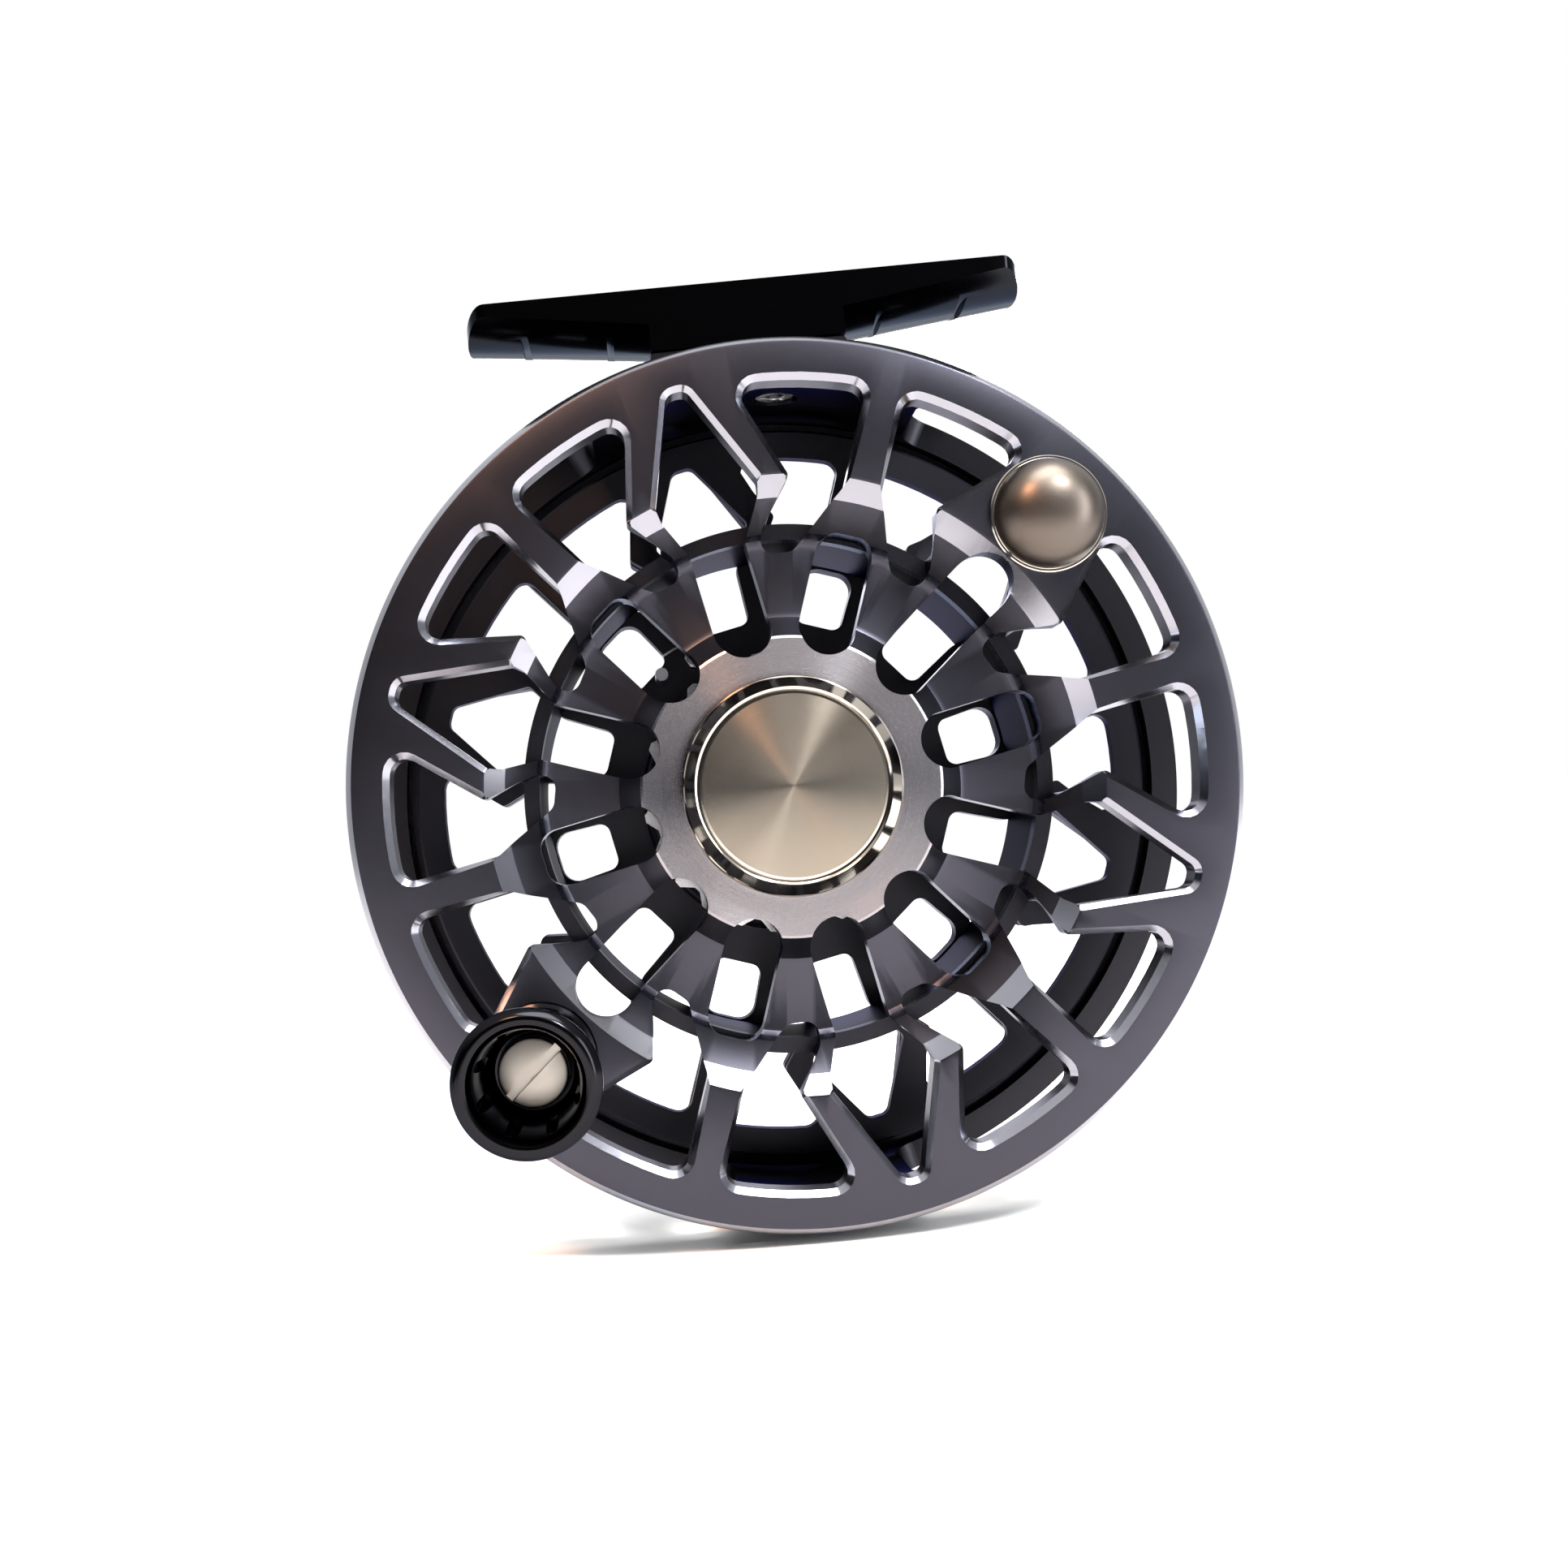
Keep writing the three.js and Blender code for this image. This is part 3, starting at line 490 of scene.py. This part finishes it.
for i in range(6):
    c = SECTOR0 + 60 * i
    for mir in (False, True):
        rear.append(port(spun(wide_outline(41.4), c, mir), 21.2, 25.6))
    rear.append(port(spun(back_kite(41.7, 26.0), c), 21.2, 25.6))
boolean(spool, [merged(cuts), merged(rear), disc_of(6.6, 0.5, 12.0, 64)])
boolean(spool, [ring_of(28.7, 30.5, 9.3, 24.4, 288)], "UNION")
hexa = lambda af, y0, y1: lathe([(0, y0), (af / sqrt(3), y0), (af / sqrt(3), y1), (0, y1)], 6)
boolean(spool, [hexa(15.5, 9.0, 25.0)])
for x, z in ((wx, wz), (hx, hz)):
    boolean(spool, [disc_of(2.3, -1, 5, 40, 0, x, z), disc_of(3.5, 2.0, 5, 48, 0, x, z)])
clean(spool, 0.000004)
put(spool, "gun", "gun_polish_and_highlight", "gun_wall_shade", "hub", "gun_rear_shade")
for p in spool.data.polygons:
    c = p.center
    x, y, z = c.x * 1000, c.y * 1000 + FOOT_Y, c.z * 1000 + SEAT_Z
    r = hypot(x, z)
    n = p.normal
    radial = (n.x * x + n.z * z) / max(r, 1e-6)
    k = 0
    # 1: port chamfers, polished and given the painted highlight colour
    if 0.02 < y < 1.0 and 0.3 < -n.y < 0.95 and r > 33.2:
        k = 1
    elif y < 2.3 and 32.0 < r < 34.5 and 0.3 < -n.y < 0.95:
        k = 1
    # 2: port walls, given the painted shade colour
    elif abs(n.y) < 0.6 and y < 11 and r < 34.4:
        k = 2
    elif r < 17.1 and y < 5 and n.y < -0.5:
        k = 3
    # 4: rear faces, given the painted shade colour
    elif y > 9.2:
        k = 4
    p.material_index = k
smooth(spool, 20)
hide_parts("spool")
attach(spool, "spool_body")

# ------------------------------------------------------------------ cap, counterweight
cap = solid("cap_body", lathe([(0, 1.62), (10.2, 1.62), (10.45, 1.66), (10.62, 1.86), (10.85, 1.66), (11.0, 1.6), (12.05, 2.72), (12.35, 3.05), (12.4, 3.2), (12.4, 4.2),
                               (6.2, 4.2), (6.2, 8.2), (3.6, 8.2), (3.6, 5.4), (0, 5.4)], 256))
put(cap, "champ", "champ_ring")
for p in cap.data.polygons:
    c = p.center
    r = hypot(c.x * 1000, c.z * 1000 + SEAT_Z)
    p.material_index = 1 if r > 10.3 else 0
smooth(cap, 24)
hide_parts("spool_cap")
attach(cap, "spool_body")

dome = [(0, -5.0), (0.8, -4.97), (1.6, -4.88), (2.4, -4.72), (3.2, -4.46), (3.9, -4.12), (4.5, -3.70), (5.05, -3.18), (5.5, -2.6), (5.82, -1.98), (5.98, -1.4), (6.02, -1.12),
        (6.08, -1.05), (6.28, -1.05), (6.4, -0.93), (6.4, -0.45), (6.28, -0.3), (2.0, -0.3), (2.0, 1.0), (1.5, 1.0), (1.5, -2.4), (0, -2.4)]
cw = solid("counterweight_dome", lathe(dome, 128, wx, wz))
put(cw, "champ_dome", "champ_ring")
for p in cw.data.polygons:
    c = p.center
    r = hypot(c.x * 1000 - wx, c.z * 1000 + SEAT_Z - wz)
    p.material_index = 1 if r > 6.03 else 0
smooth(cw, 24)
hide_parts("counterweight")
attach(cw, "spool_body")

# ------------------------------------------------------------------ handle
KL = 25.2
kp = [(3.75, -2.4), (5.6, -2.4), (5.9, -2.55), (6.05, -2.9), (6.05, -3.5), (5.9, -3.8), (5.5, -4.0), (5.3, -4.3), (5.22, -5.2), (5.12, -7.0), (5.06, -9.0), (5.08, -11.0),
      (5.18, -13.0), (5.38, -15.0), (5.68, -17.0), (6.08, -19.0), (6.5, -20.7), (6.9, -22.1), (7.12, -22.9), (7.26, -23.3), (7.3, -23.6), (7.3, -24.35), (7.22, -24.55),
      (6.65, -25.12), (6.45, -25.2), (5.95, -25.2), (5.75, -25.12), (5.45, -24.7), (5.3, -24.3), (5.05, -22.5), (4.8, -20.0), (4.62, -17.0), (4.5, -14.6), (4.35, -14.0), (4.0, -13.7),
      (2.9, -13.6), (2.9, -12.9), (3.75, -12.9)]
knob = solid("handle_knob_body", lathe(kp, 160, hx, hz))
# eight shallow flutes in the knob's inner wall
fl = []
for k in range(8):
    a = 2 * pi * (k + 0.5) / 8
    fl.append(disc_of(0.7, -24.2, -17.6, 24, 0.3, hx + 4.72 * cos(a), hz + 4.72 * sin(a)))
boolean(knob, [merged(fl)])
clean(knob, 0.000003)
put(knob, "gloss")
smooth(knob, 28)
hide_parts("handle_knob")
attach(knob, "knob_body")

def slot_box(w, l, y0, y1, deg, cx=0.0, cz=0.0):
    c, s = cos(radians(deg)), sin(radians(deg))
    q = [(l, w), (-l, w), (-l, -w), (l, -w)]
    return loft([([(cx + a * c - b * s, cz + a * s + b * c) for a, b in q], y0), ([(cx + a * c - b * s, cz + a * s + b * c) for a, b in q], y1)])

hs = solid("handle_screw_head", lathe([(0, -15.8), (3.2, -15.8), (3.42, -15.74), (3.6, -15.55), (3.6, -13.9), (1.2, -13.9), (1.2, -9.0), (0, -9.0)], 96, hx, hz))
boolean(hs, [slot_box(0.45, 4.2, -16.5, -15.0, 221.6, hx, hz)])
put(hs, "nickel")
bevel(hs, 0.08, 2, 30)
smooth(hs, 28)
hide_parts("handle_screw")
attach(hs, "spool_body")

post = solid("handle_post_body", lathe([(0, -13.0), (2.05, -13.0), (2.2, -12.85), (2.2, -2.2), (2.4, -2.0), (5.35, -2.0), (5.6, -1.75), (5.6, -0.5), (5.4, -0.3), (2.0, -0.3), (2.0, 1.0), (1.5, 1.0), (1.5, -1.6), (0, -1.6)], 96, hx, hz))
boolean(post, [disc_of(1.5, -14, -8, 32, 0, hx, hz)])
put(post, "steel")
smooth(post, 28)
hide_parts("handle_post")
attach(post, "spool_body")

# ------------------------------------------------------------------ frame
FO, FI, F0, F1, FP = 49.3, 46.2, 25.6, 29.0, 44.2
fr = solid("frame_body_mesh", lathe([(16.9, F0), (49.3, F0), (49.3, F1 - 0.9), (49.05, F1 - 0.35), (48.6, F1), (16.9, F1)], 288))
fc = []
for i in range(6):
    c = SECTOR0 + 60 * i
    for mir in (False, True):
        fc.append(port_back(spun(wide_outline(FP), c, mir), F0 - 1, F1 + 1, 0.6))
    fc.append(port_back(spun(back_kite(FP + 0.3, 21.5), c), F0 - 1, F1 + 1, 0.6))
    fc.append(port_back(spun(back_slot(21.5, 28.6), c + 30), F0 - 1, F1 + 1, 0.5))
boolean(fr, [merged(fc)])
def sector(ri, ro, a0, a1, n, corner=0.0):
    o = [polar(ro, a0 + (a1 - a0) * i / n) for i in range(n + 1)] + [polar(ri, a1 + (a0 - a1) * i / n) for i in range(n + 1)]
    return o
boolean(fr, [ring_of(46.2, 49.3, 4.3, 7.2, 288, 0.25), ring_of(46.2, 49.3, 23.6, F1 - 1.0, 288, 0.0),
             loft([(sector(FI, FO, 66, 114, 40), 4.55), (sector(FI, FO, 66, 114, 40), F1 - 0.9)]),
             loft([(sector(FI, FO, 270 - 12.5, 270 + 12.5, 24), 4.55), (sector(FI, FO, 270 - 12.5, 270 + 12.5, 24), F1 - 0.9)])], "UNION")
# round fillets where the block and the pillar meet the rings
def side_fillet(a, sgn, y, inward):
    r, n = 3.0, 8
    out = []
    for k in range(n + 1):
        t = (pi / 2) * k / n
        out.append((r * (1 - sin(t)), r * (1 - cos(t))))
    pts = [(0, 0)] + out
    verts, faces = [], []
    for rr in (FI + 0.02, FO - 0.02):
        for u, v in pts:
            ang = radians(a) + sgn * (u / 47.7)
            verts.append((rr * cos(ang), y + inward * v, rr * sin(ang)))
    m = len(pts)
    for k in range(m):
        k2 = (k + 1) % m
        faces.append((k, k2, m + k2, m + k))
    faces.append(tuple(range(m))[::-1])
    faces.append(tuple(range(m, 2 * m)))
    return verts, faces
fil = []
for a, s in ((66.05, -1), (113.95, 1), (257.55, -1), (282.45, 1)):
    fil.append(side_fillet(a, s, 7.15, 1))
    fil.append(side_fillet(a, s, 23.65, -1))
boolean(fr, fil, "UNION")
pad = filleted([(-11.2, 47.4), (11.2, 47.4), (11.2, 50.7), (-11.2, 50.7)], [0, 0, 0.5, 0.5], 3)
boolean(fr, [loft([(pad, FOOT_Y - 7.0), (pad, FOOT_Y + 7.0)])], "UNION")
def zcyl(r, z0, z1, x, y, seg=32):
    verts, faces = [], []
    for z in (z0, z1):
        verts += [(x + r * cos(2 * pi * k / seg), y + r * sin(2 * pi * k / seg), z) for k in range(seg)]
    for k in range(seg):
        k2 = (k + 1) % seg
        faces.append((k, k2, seg + k2, seg + k))
    faces.append(tuple(range(seg))[::-1])
    faces.append(tuple(range(seg, 2 * seg)))
    return verts, faces
cutf = []
for x in (-3.1, 3.1):
    cutf.append(zcyl(1.7, 44, 53, x, FOOT_Y))
boolean(fr, [merged(cutf)])
boolean(fr, [merged([zcyl(2.6, 44, 48.6, x, FOOT_Y) for x in (-3.1, 3.1)])])
px, pz = polar(19.4, 116.6)
hsp = [polar(19.2, d) for d in (71.6, 191.6, 311.6)]
boolean(fr, [merged([disc_of(1.05, 20, 30, 24, 0, px, pz)] + [disc_of(1.3, 26.4, 31, 24, 0, x, z) for x, z in hsp])])
clean(fr, 0.000004)
put(fr, "frame", "frame_ring")
smooth(fr, 30)
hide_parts("frame")
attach(fr, "frame_body")

# ------------------------------------------------------------------ foot: a lofted saddle
def foot_mid(x):
    return 52.7 + max(0.0, abs(x) - 11) * 0.0985
def foot_edge(x):
    return 53.97 + max(0.0, abs(x) - 11) * 0.139
def foot_section(x):
    """YZ outline of the foot at x: hollow top, upright long edges, arched underside."""
    over = min(1.0, max(0.0, abs(x) - 29.7) / 2.6)
    hw = max(0.9, 7.3 * sqrt(max(0.0, 1 - over * over)))
    n = 24
    top, bot = [], []
    for k in range(n + 1):
        f = -1 + 2.0 * k / n
        g = f * hw / 7.3
        top.append((f * hw, max(58.0 - 1.5, 58.0 - 1.5 * (1 - g * g) * 1.02)))
        bot.append((-f * hw, foot_mid(x) + (foot_edge(x) - foot_mid(x)) * g * g))
    return [(FOOT_Y + y, z) for y, z in top + bot]
def foot_mesh():
    half = [0, 4, 8, 11, 13, 16, 19, 22, 25, 28, 29.7, 30.1, 30.5, 30.9, 31.2, 31.5, 31.75, 31.95, 32.1, 32.2, 32.27]
    xs = [-x for x in half[:0:-1]] + half
    verts, faces = [], []
    secs = [foot_section(x) for x in xs]
    n = len(secs[0])
    for x, q in zip(xs, secs):
        verts += [(x, y, z) for y, z in q]
    for i in range(len(xs) - 1):
        for k in range(n):
            k2 = (k + 1) % n
            faces.append((i * n + k, i * n + k2, (i + 1) * n + k2, (i + 1) * n + k))
    faces.append(tuple(range(n))[::-1])
    faces.append(tuple(range((len(xs) - 1) * n, len(xs) * n)))
    return verts, faces
foot = solid("foot_body", foot_mesh())
ped = [(-11.1, 50.9), (11.1, 50.9), (11.1, 54.6), (-11.1, 54.6)]
boolean(foot, [loft([(ped, FOOT_Y - 7.28), (ped, FOOT_Y + 7.28)])], "UNION")
boolean(foot, [merged([zcyl(1.7, 49, 55.4, x, FOOT_Y) for x in (-3.1, 3.1)])])
# small relief cuts on the underside
def xbox(x0, x1, y0, y1, z0, z1):
    v = [(x, y, z) for x in (x0, x1) for y in (y0, y1) for z in (z0, z1)]
    f = [(0, 1, 3, 2), (4, 6, 7, 5), (0, 4, 5, 1), (2, 3, 7, 6), (0, 2, 6, 4), (1, 5, 7, 3)]
    return v, f
cuts2 = []
for s in (-1, 1):
    for xc, w in ((15.7, 0.4), (25.5, 0.45)):
        zb = foot_mid(xc)
        cuts2.append(xbox(s * xc - w, s * xc + w, FOOT_Y - 9, FOOT_Y + 9, zb - 1, zb + 0.6))
boolean(foot, [merged(cuts2)])
clean(foot, 0.000004)
put(foot, "gloss")
bevel(foot, 0.18, 2, 50)
smooth(foot, 35)
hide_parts("reel_foot")
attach(foot, "frame_body")

# ------------------------------------------------------------------ drag side
dk = [(4.6, 34.3), (10.6, 34.3), (10.6, 35.3), (14.2, 35.3), (14.2, 34.3), (15.6, 34.3), (15.85, 34.5), (16.0, 34.9), (16.0, 39.3), (15.8, 39.9), (15.3, 40.4), (14.8, 40.6),
      (12.7, 40.6), (12.3, 40.5), (11.5, 39.9), (11.2, 39.8), (6.8, 39.8), (6.6, 39.6), (6.6, 38.2), (4.6, 38.2)]
dknob = solid("drag_knob_body_mesh", lathe(dk, 192))
sc = []
for i in range(12):
    x, z = polar(18.4, 30 * i + 15)
    sc.append(disc_of(3.3, 33, 42, 40, 0, x, z))
boolean(dknob, [merged(sc)])
clean(dknob, 0.000003)
put(dknob, "gloss")
bevel(dknob, 0.22, 3, 40)
smooth(dknob, 30)
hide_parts("drag_knob")
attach(dknob, "drag_knob_body")

hb = solid("drag_housing_shell", lathe([(9.0, 21.4), (15.2, 21.4), (16.2, 21.9), (16.5, 22.4), (16.5, 29.3), (20.9, 29.3), (21.2, 29.6), (21.2, 30.9), (20.95, 31.3), (20.5, 31.6), (15.2, 31.6), (15.2, 22.9), (9.0, 22.9)], 192))
boolean(hb, [merged([disc_of(1.3, 28, 33, 24, 0, x, z) for x, z in hsp]), merged([disc_of(1.95, 30.2, 33, 32, 0, x, z) for x, z in hsp])])
clean(hb, 0.000003)
put(hb, "frame")
smooth(hb, 28)
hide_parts("drag_housing")
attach(hb, "frame_body")

dc = solid("drag_cover_plate", lathe([(4.6, 32.6), (10.2, 32.6), (10.2, 32.2), (20.0, 31.9), (20.2, 32.1), (20.2, 32.9), (19.9, 33.25), (18.7, 33.75), (18.4, 33.8), (4.6, 33.8)], 192))
tk = []
for i in range(31):
    a = 120 + 300.0 * i / 30
    x, z = polar(17.2, a)
    l = 0.9 if i % 5 == 0 else 0.5
    tk.append(slot_box(0.12, l, 33.62, 34.5, a, x, z))
boolean(dc, [merged(tk), disc_of(0.95, 30, 35, 20, 0, 0, 12.5)])
clean(dc, 0.000002)
put(dc, "frame_ring")
smooth(dc, 28)
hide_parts("drag_cover")
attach(dc, "frame_body")

sp = solid("spindle_shaft", lathe([(0, 9.0), (4.7, 9.0), (5.0, 9.3), (5.0, 10.8), (3.1, 10.8), (3.1, 40.9), (2.7, 41.4), (0, 41.4)], 96))
boolean(sp, [slot_box(0.45, 3.2, 8.0, 9.8, 0)])
put(sp, "steel")
smooth(sp, 28)
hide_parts("spindle")
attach(sp, "frame_body")

kr = solid("drag_knob_ring", ring_of(3.4, 6.2, 38.5, 39.6, 96, 0.15))
boolean(kr, [merged([disc_of(0.45, 38.9, 41, 20, 0, 4.8 * s, 0.0) for s in (-1, 1)])])
put(kr, "steel")
smooth(kr, 28)
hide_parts("drag_knob_retainer")
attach(kr, "drag_knob_body")

for i, (x, z) in enumerate(hsp):
    s = solid("housing_screw_head_%d" % (i + 1), lathe([(0, 31.5), (1.3, 31.5), (1.65, 31.2), (1.65, 30.4), (1.0, 30.4), (1.0, 26.7), (0, 26.7)], 48, x, z))
    boolean(s, [lathe([(0, 30.7), (0.75, 30.7), (0.75, 32.5), (0, 32.5)], 6, x, z)])
    put(s, "steel")
    smooth(s, 28)
    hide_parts("housing_screw_%d" % (i + 1))
    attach(s, "frame_body")

for nm, x in (("left", -3.1), ("right", 3.1)):
    s = solid("foot_screw_head_" + nm, merged([zcyl(2.3, 46.4, 48.3, x, FOOT_Y, 48)]))
    boolean(s, [zcyl(1.4, 48.1, 55.1, x, FOOT_Y, 32)], "UNION")
    boolean(s, [zcyl(1.15, 45, 47.4, x, FOOT_Y, 6)])
    put(s, "steel")
    bevel(s, 0.12, 2, 40)
    smooth(s, 28)
    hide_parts("foot_screw_" + nm)
    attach(s, "frame_body")

for nm, x, z in (("counterweight", wx, wz), ("handle_post", hx, hz)):
    s = solid(nm + "_screw_head", lathe([(0, 3.5), (2.85, 3.5), (3.1, 3.25), (3.1, 2.3), (1.2, 2.3), (1.2, -1.15 if nm == "handle_post" else -2.0), (0, -1.15 if nm == "handle_post" else -2.0)], 64, x, z))
    boolean(s, [slot_box(0.4, 2.6, 3.0, 4.2, 0, x, z)])
    put(s, "steel")
    smooth(s, 28)
    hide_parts(nm + "_screw")
    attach(s, "spool_body")

# ------------------------------------------------------------------ the CAD nodes that stay: materials
keep = {
    "spool_cap_retainer": "steel", "handle_bushing_outer": "bronze", "handle_bushing_inner": "bronze", "drag_hub": "steel", "hub_seal": "rubber",
    "hub_bearing_front": "steel", "hub_bearing_rear": "steel", "one_way_clutch": "steel", "drag_disc_carbon_front": "carbon", "drag_disc_steel": "steel",
    "drag_disc_carbon_rear": "carbon", "pressure_plate": "frame", "spring_washer_inner": "steel", "spring_washer_outer": "steel", "cover_seal": "rubber",
    "detent_spring": "steel", "detent_ball": "steel", "drag_adjust_nut": "bronze", "click_gear": "steel", "click_pawl": "steel", "click_pawl_pin": "steel",
    "click_spring_post": "steel", "click_spring": "steel"}
for n, m in keep.items():
    ob = frame["nodes"][n] if not isinstance(frame["nodes"][n], str) else bpy.data.objects[frame["nodes"][n]]
    ob.data.materials.clear()
    ob.data.materials.append(M[m])

# ------------------------------------------------------------------ stage, light, camera
def plane(name, pts, mat):
    me = bpy.data.meshes.new(name)
    me.from_pydata(pts, [], [(0, 1, 2, 3)])
    ob = link(name, me)
    ob.data.materials.append(mat)
    return ob

fm, nt, b = new_mat("floor_pale")
b.inputs["Base Color"].default_value = (0.90, 0.90, 0.90, 1)
b.inputs["Roughness"].default_value = 0.9
b.inputs["Specular IOR Level"].default_value = 0.1
FZ = -0.1072
plane("floor", [(-40, -10, FZ), (40, -10, FZ), (40, 60, FZ), (-40, 60, FZ)], fm)

world = bpy.data.worlds.new("studio")
bpy.context.scene.world = world
world.use_nodes = True
wn = world.node_tree
bg = wn.nodes["Background"]
tc = wn.nodes.new("ShaderNodeTexCoord")
sx = wn.nodes.new("ShaderNodeSeparateXYZ")
wn.links.new(tc.outputs["Generated"], sx.inputs[0])
def wmath(op, u, v):
    n = wn.nodes.new("ShaderNodeMath")
    n.operation = op
    for i, q in enumerate((u, v)):
        if isinstance(q, float):
            n.inputs[i].default_value = q
        else:
            wn.links.new(q, n.inputs[i])
    return n.outputs[0]
lean = wmath("SUBTRACT", wmath("MULTIPLY", sx.outputs[0], 0.75), wmath("MULTIPLY", sx.outputs[2], 0.65))
rp = wn.nodes.new("ShaderNodeValToRGB")
mr = wn.nodes.new("ShaderNodeMapRange")
mr.inputs["From Min"].default_value = -0.6
mr.inputs["From Max"].default_value = 0.8
wn.links.new(lean, mr.inputs["Value"])
wn.links.new(mr.outputs[0], rp.inputs[0])
el = rp.color_ramp.elements
el[0].position, el[0].color = 0.0, (0.035, 0.035, 0.045, 1)
el[1].position, el[1].color = 1.0, (0.75, 0.76, 0.80, 1)
e = el.new(0.40); e.color = (0.10, 0.098, 0.115, 1)
e = el.new(0.62); e.color = (0.36, 0.36, 0.39, 1)
behind = wn.nodes.new("ShaderNodeMapRange")
behind.interpolation_type = "SMOOTHSTEP"
behind.inputs["From Min"].default_value = -0.15
behind.inputs["From Max"].default_value = 0.35
wn.links.new(sx.outputs[1], behind.inputs["Value"])
bmix = wn.nodes.new("ShaderNodeMix")
bmix.data_type = "RGBA"
bmix.inputs[7].default_value = (1.0, 1.0, 1.0, 1)
wn.links.new(behind.outputs[0], bmix.inputs[0])
wn.links.new(rp.outputs[0], bmix.inputs[6])
top = wn.nodes.new("ShaderNodeMapRange")
top.interpolation_type = "SMOOTHSTEP"
top.inputs["From Min"].default_value = 0.35
top.inputs["From Max"].default_value = 0.8
wn.links.new(sx.outputs[2], top.inputs["Value"])
wmix = wn.nodes.new("ShaderNodeMix")
wmix.data_type = "RGBA"
wmix.inputs[7].default_value = (1.5, 1.5, 1.5, 1)
wn.links.new(top.outputs[0], wmix.inputs[0])
wn.links.new(bmix.outputs[2], wmix.inputs[6])
wn.links.new(wmix.outputs[2], bg.inputs["Color"])
bg.inputs["Strength"].default_value = 1.0

def area(name, loc, target, size, power, color=(1, 1, 1), size_y=None):
    l = bpy.data.lights.new(name, "AREA")
    l.shape = "RECTANGLE"
    l.size, l.size_y = size, size_y or size
    l.energy = power
    l.color = color
    o = bpy.data.objects.new(name, l)
    bpy.context.scene.collection.objects.link(o)
    o.location = loc
    d = Vector(target) - Vector(loc)
    o.rotation_euler = d.to_track_quat("-Z", "Y").to_euler()
    return o
T = (0, -0.014, -0.058)
area("key_top", (0.12, -0.20, 0.55), T, 0.45, 8.0, (1.0, 0.99, 0.97), 0.3)
area("side_right", (0.52, -0.34, -0.02), T, 0.20, 5.0, (0.96, 0.98, 1.0), 0.6)
area("warm_left", (-0.13, -0.30, 0.28), T, 0.08, 1.7, (1.0, 0.52, 0.28), 0.08)
area("streak", (0.20, -0.30, 0.27), T, 0.07, 2.6, (1.0, 1.0, 1.0), 0.07)
area("back_fill", (0.10, 0.50, 0.22), T, 0.4, 3.0, (1.0, 1.0, 1.0), 0.3)
area("low_fill", (0.15, -0.45, -0.42), T, 0.5, 1.6, (0.96, 0.95, 1.0), 0.2)
area("cool_left", (-0.55, -0.30, -0.25), T, 0.3, 1.6, (0.72, 0.84, 1.0), 0.4)

cam = bpy.data.cameras.new("camera")
co = bpy.data.objects.new("camera", cam)
bpy.context.scene.collection.objects.link(co)
D = 180.0
PX = 11.24
cam.sensor_width = 36.0
cam.lens = 36.0 * D * PX / 1932.0
cam.clip_start = 0.01
fx, fy = 810.0, 1059.0
cam.shift_x = (966.0 - fx) / 1932.0
cam.shift_y = (fy - 966.0) / 1932.0
roll = radians(5.4)
ix, iy = (fx - 980.0) / PX, -(fy - 967.0) / PX
mx, mz = ix * cos(roll) + iy * sin(roll), -ix * sin(roll) + iy * cos(roll)
co.location = W(mx, -D, mz)
co.rotation_euler = (Matrix.Rotation(radians(90), 4, "X") @ Matrix.Rotation(-roll, 4, "Z")).to_euler()
bpy.context.scene.camera = co
bpy.context.scene.view_settings.view_transform = "Standard"
bpy.context.scene.view_settings.look = "None"
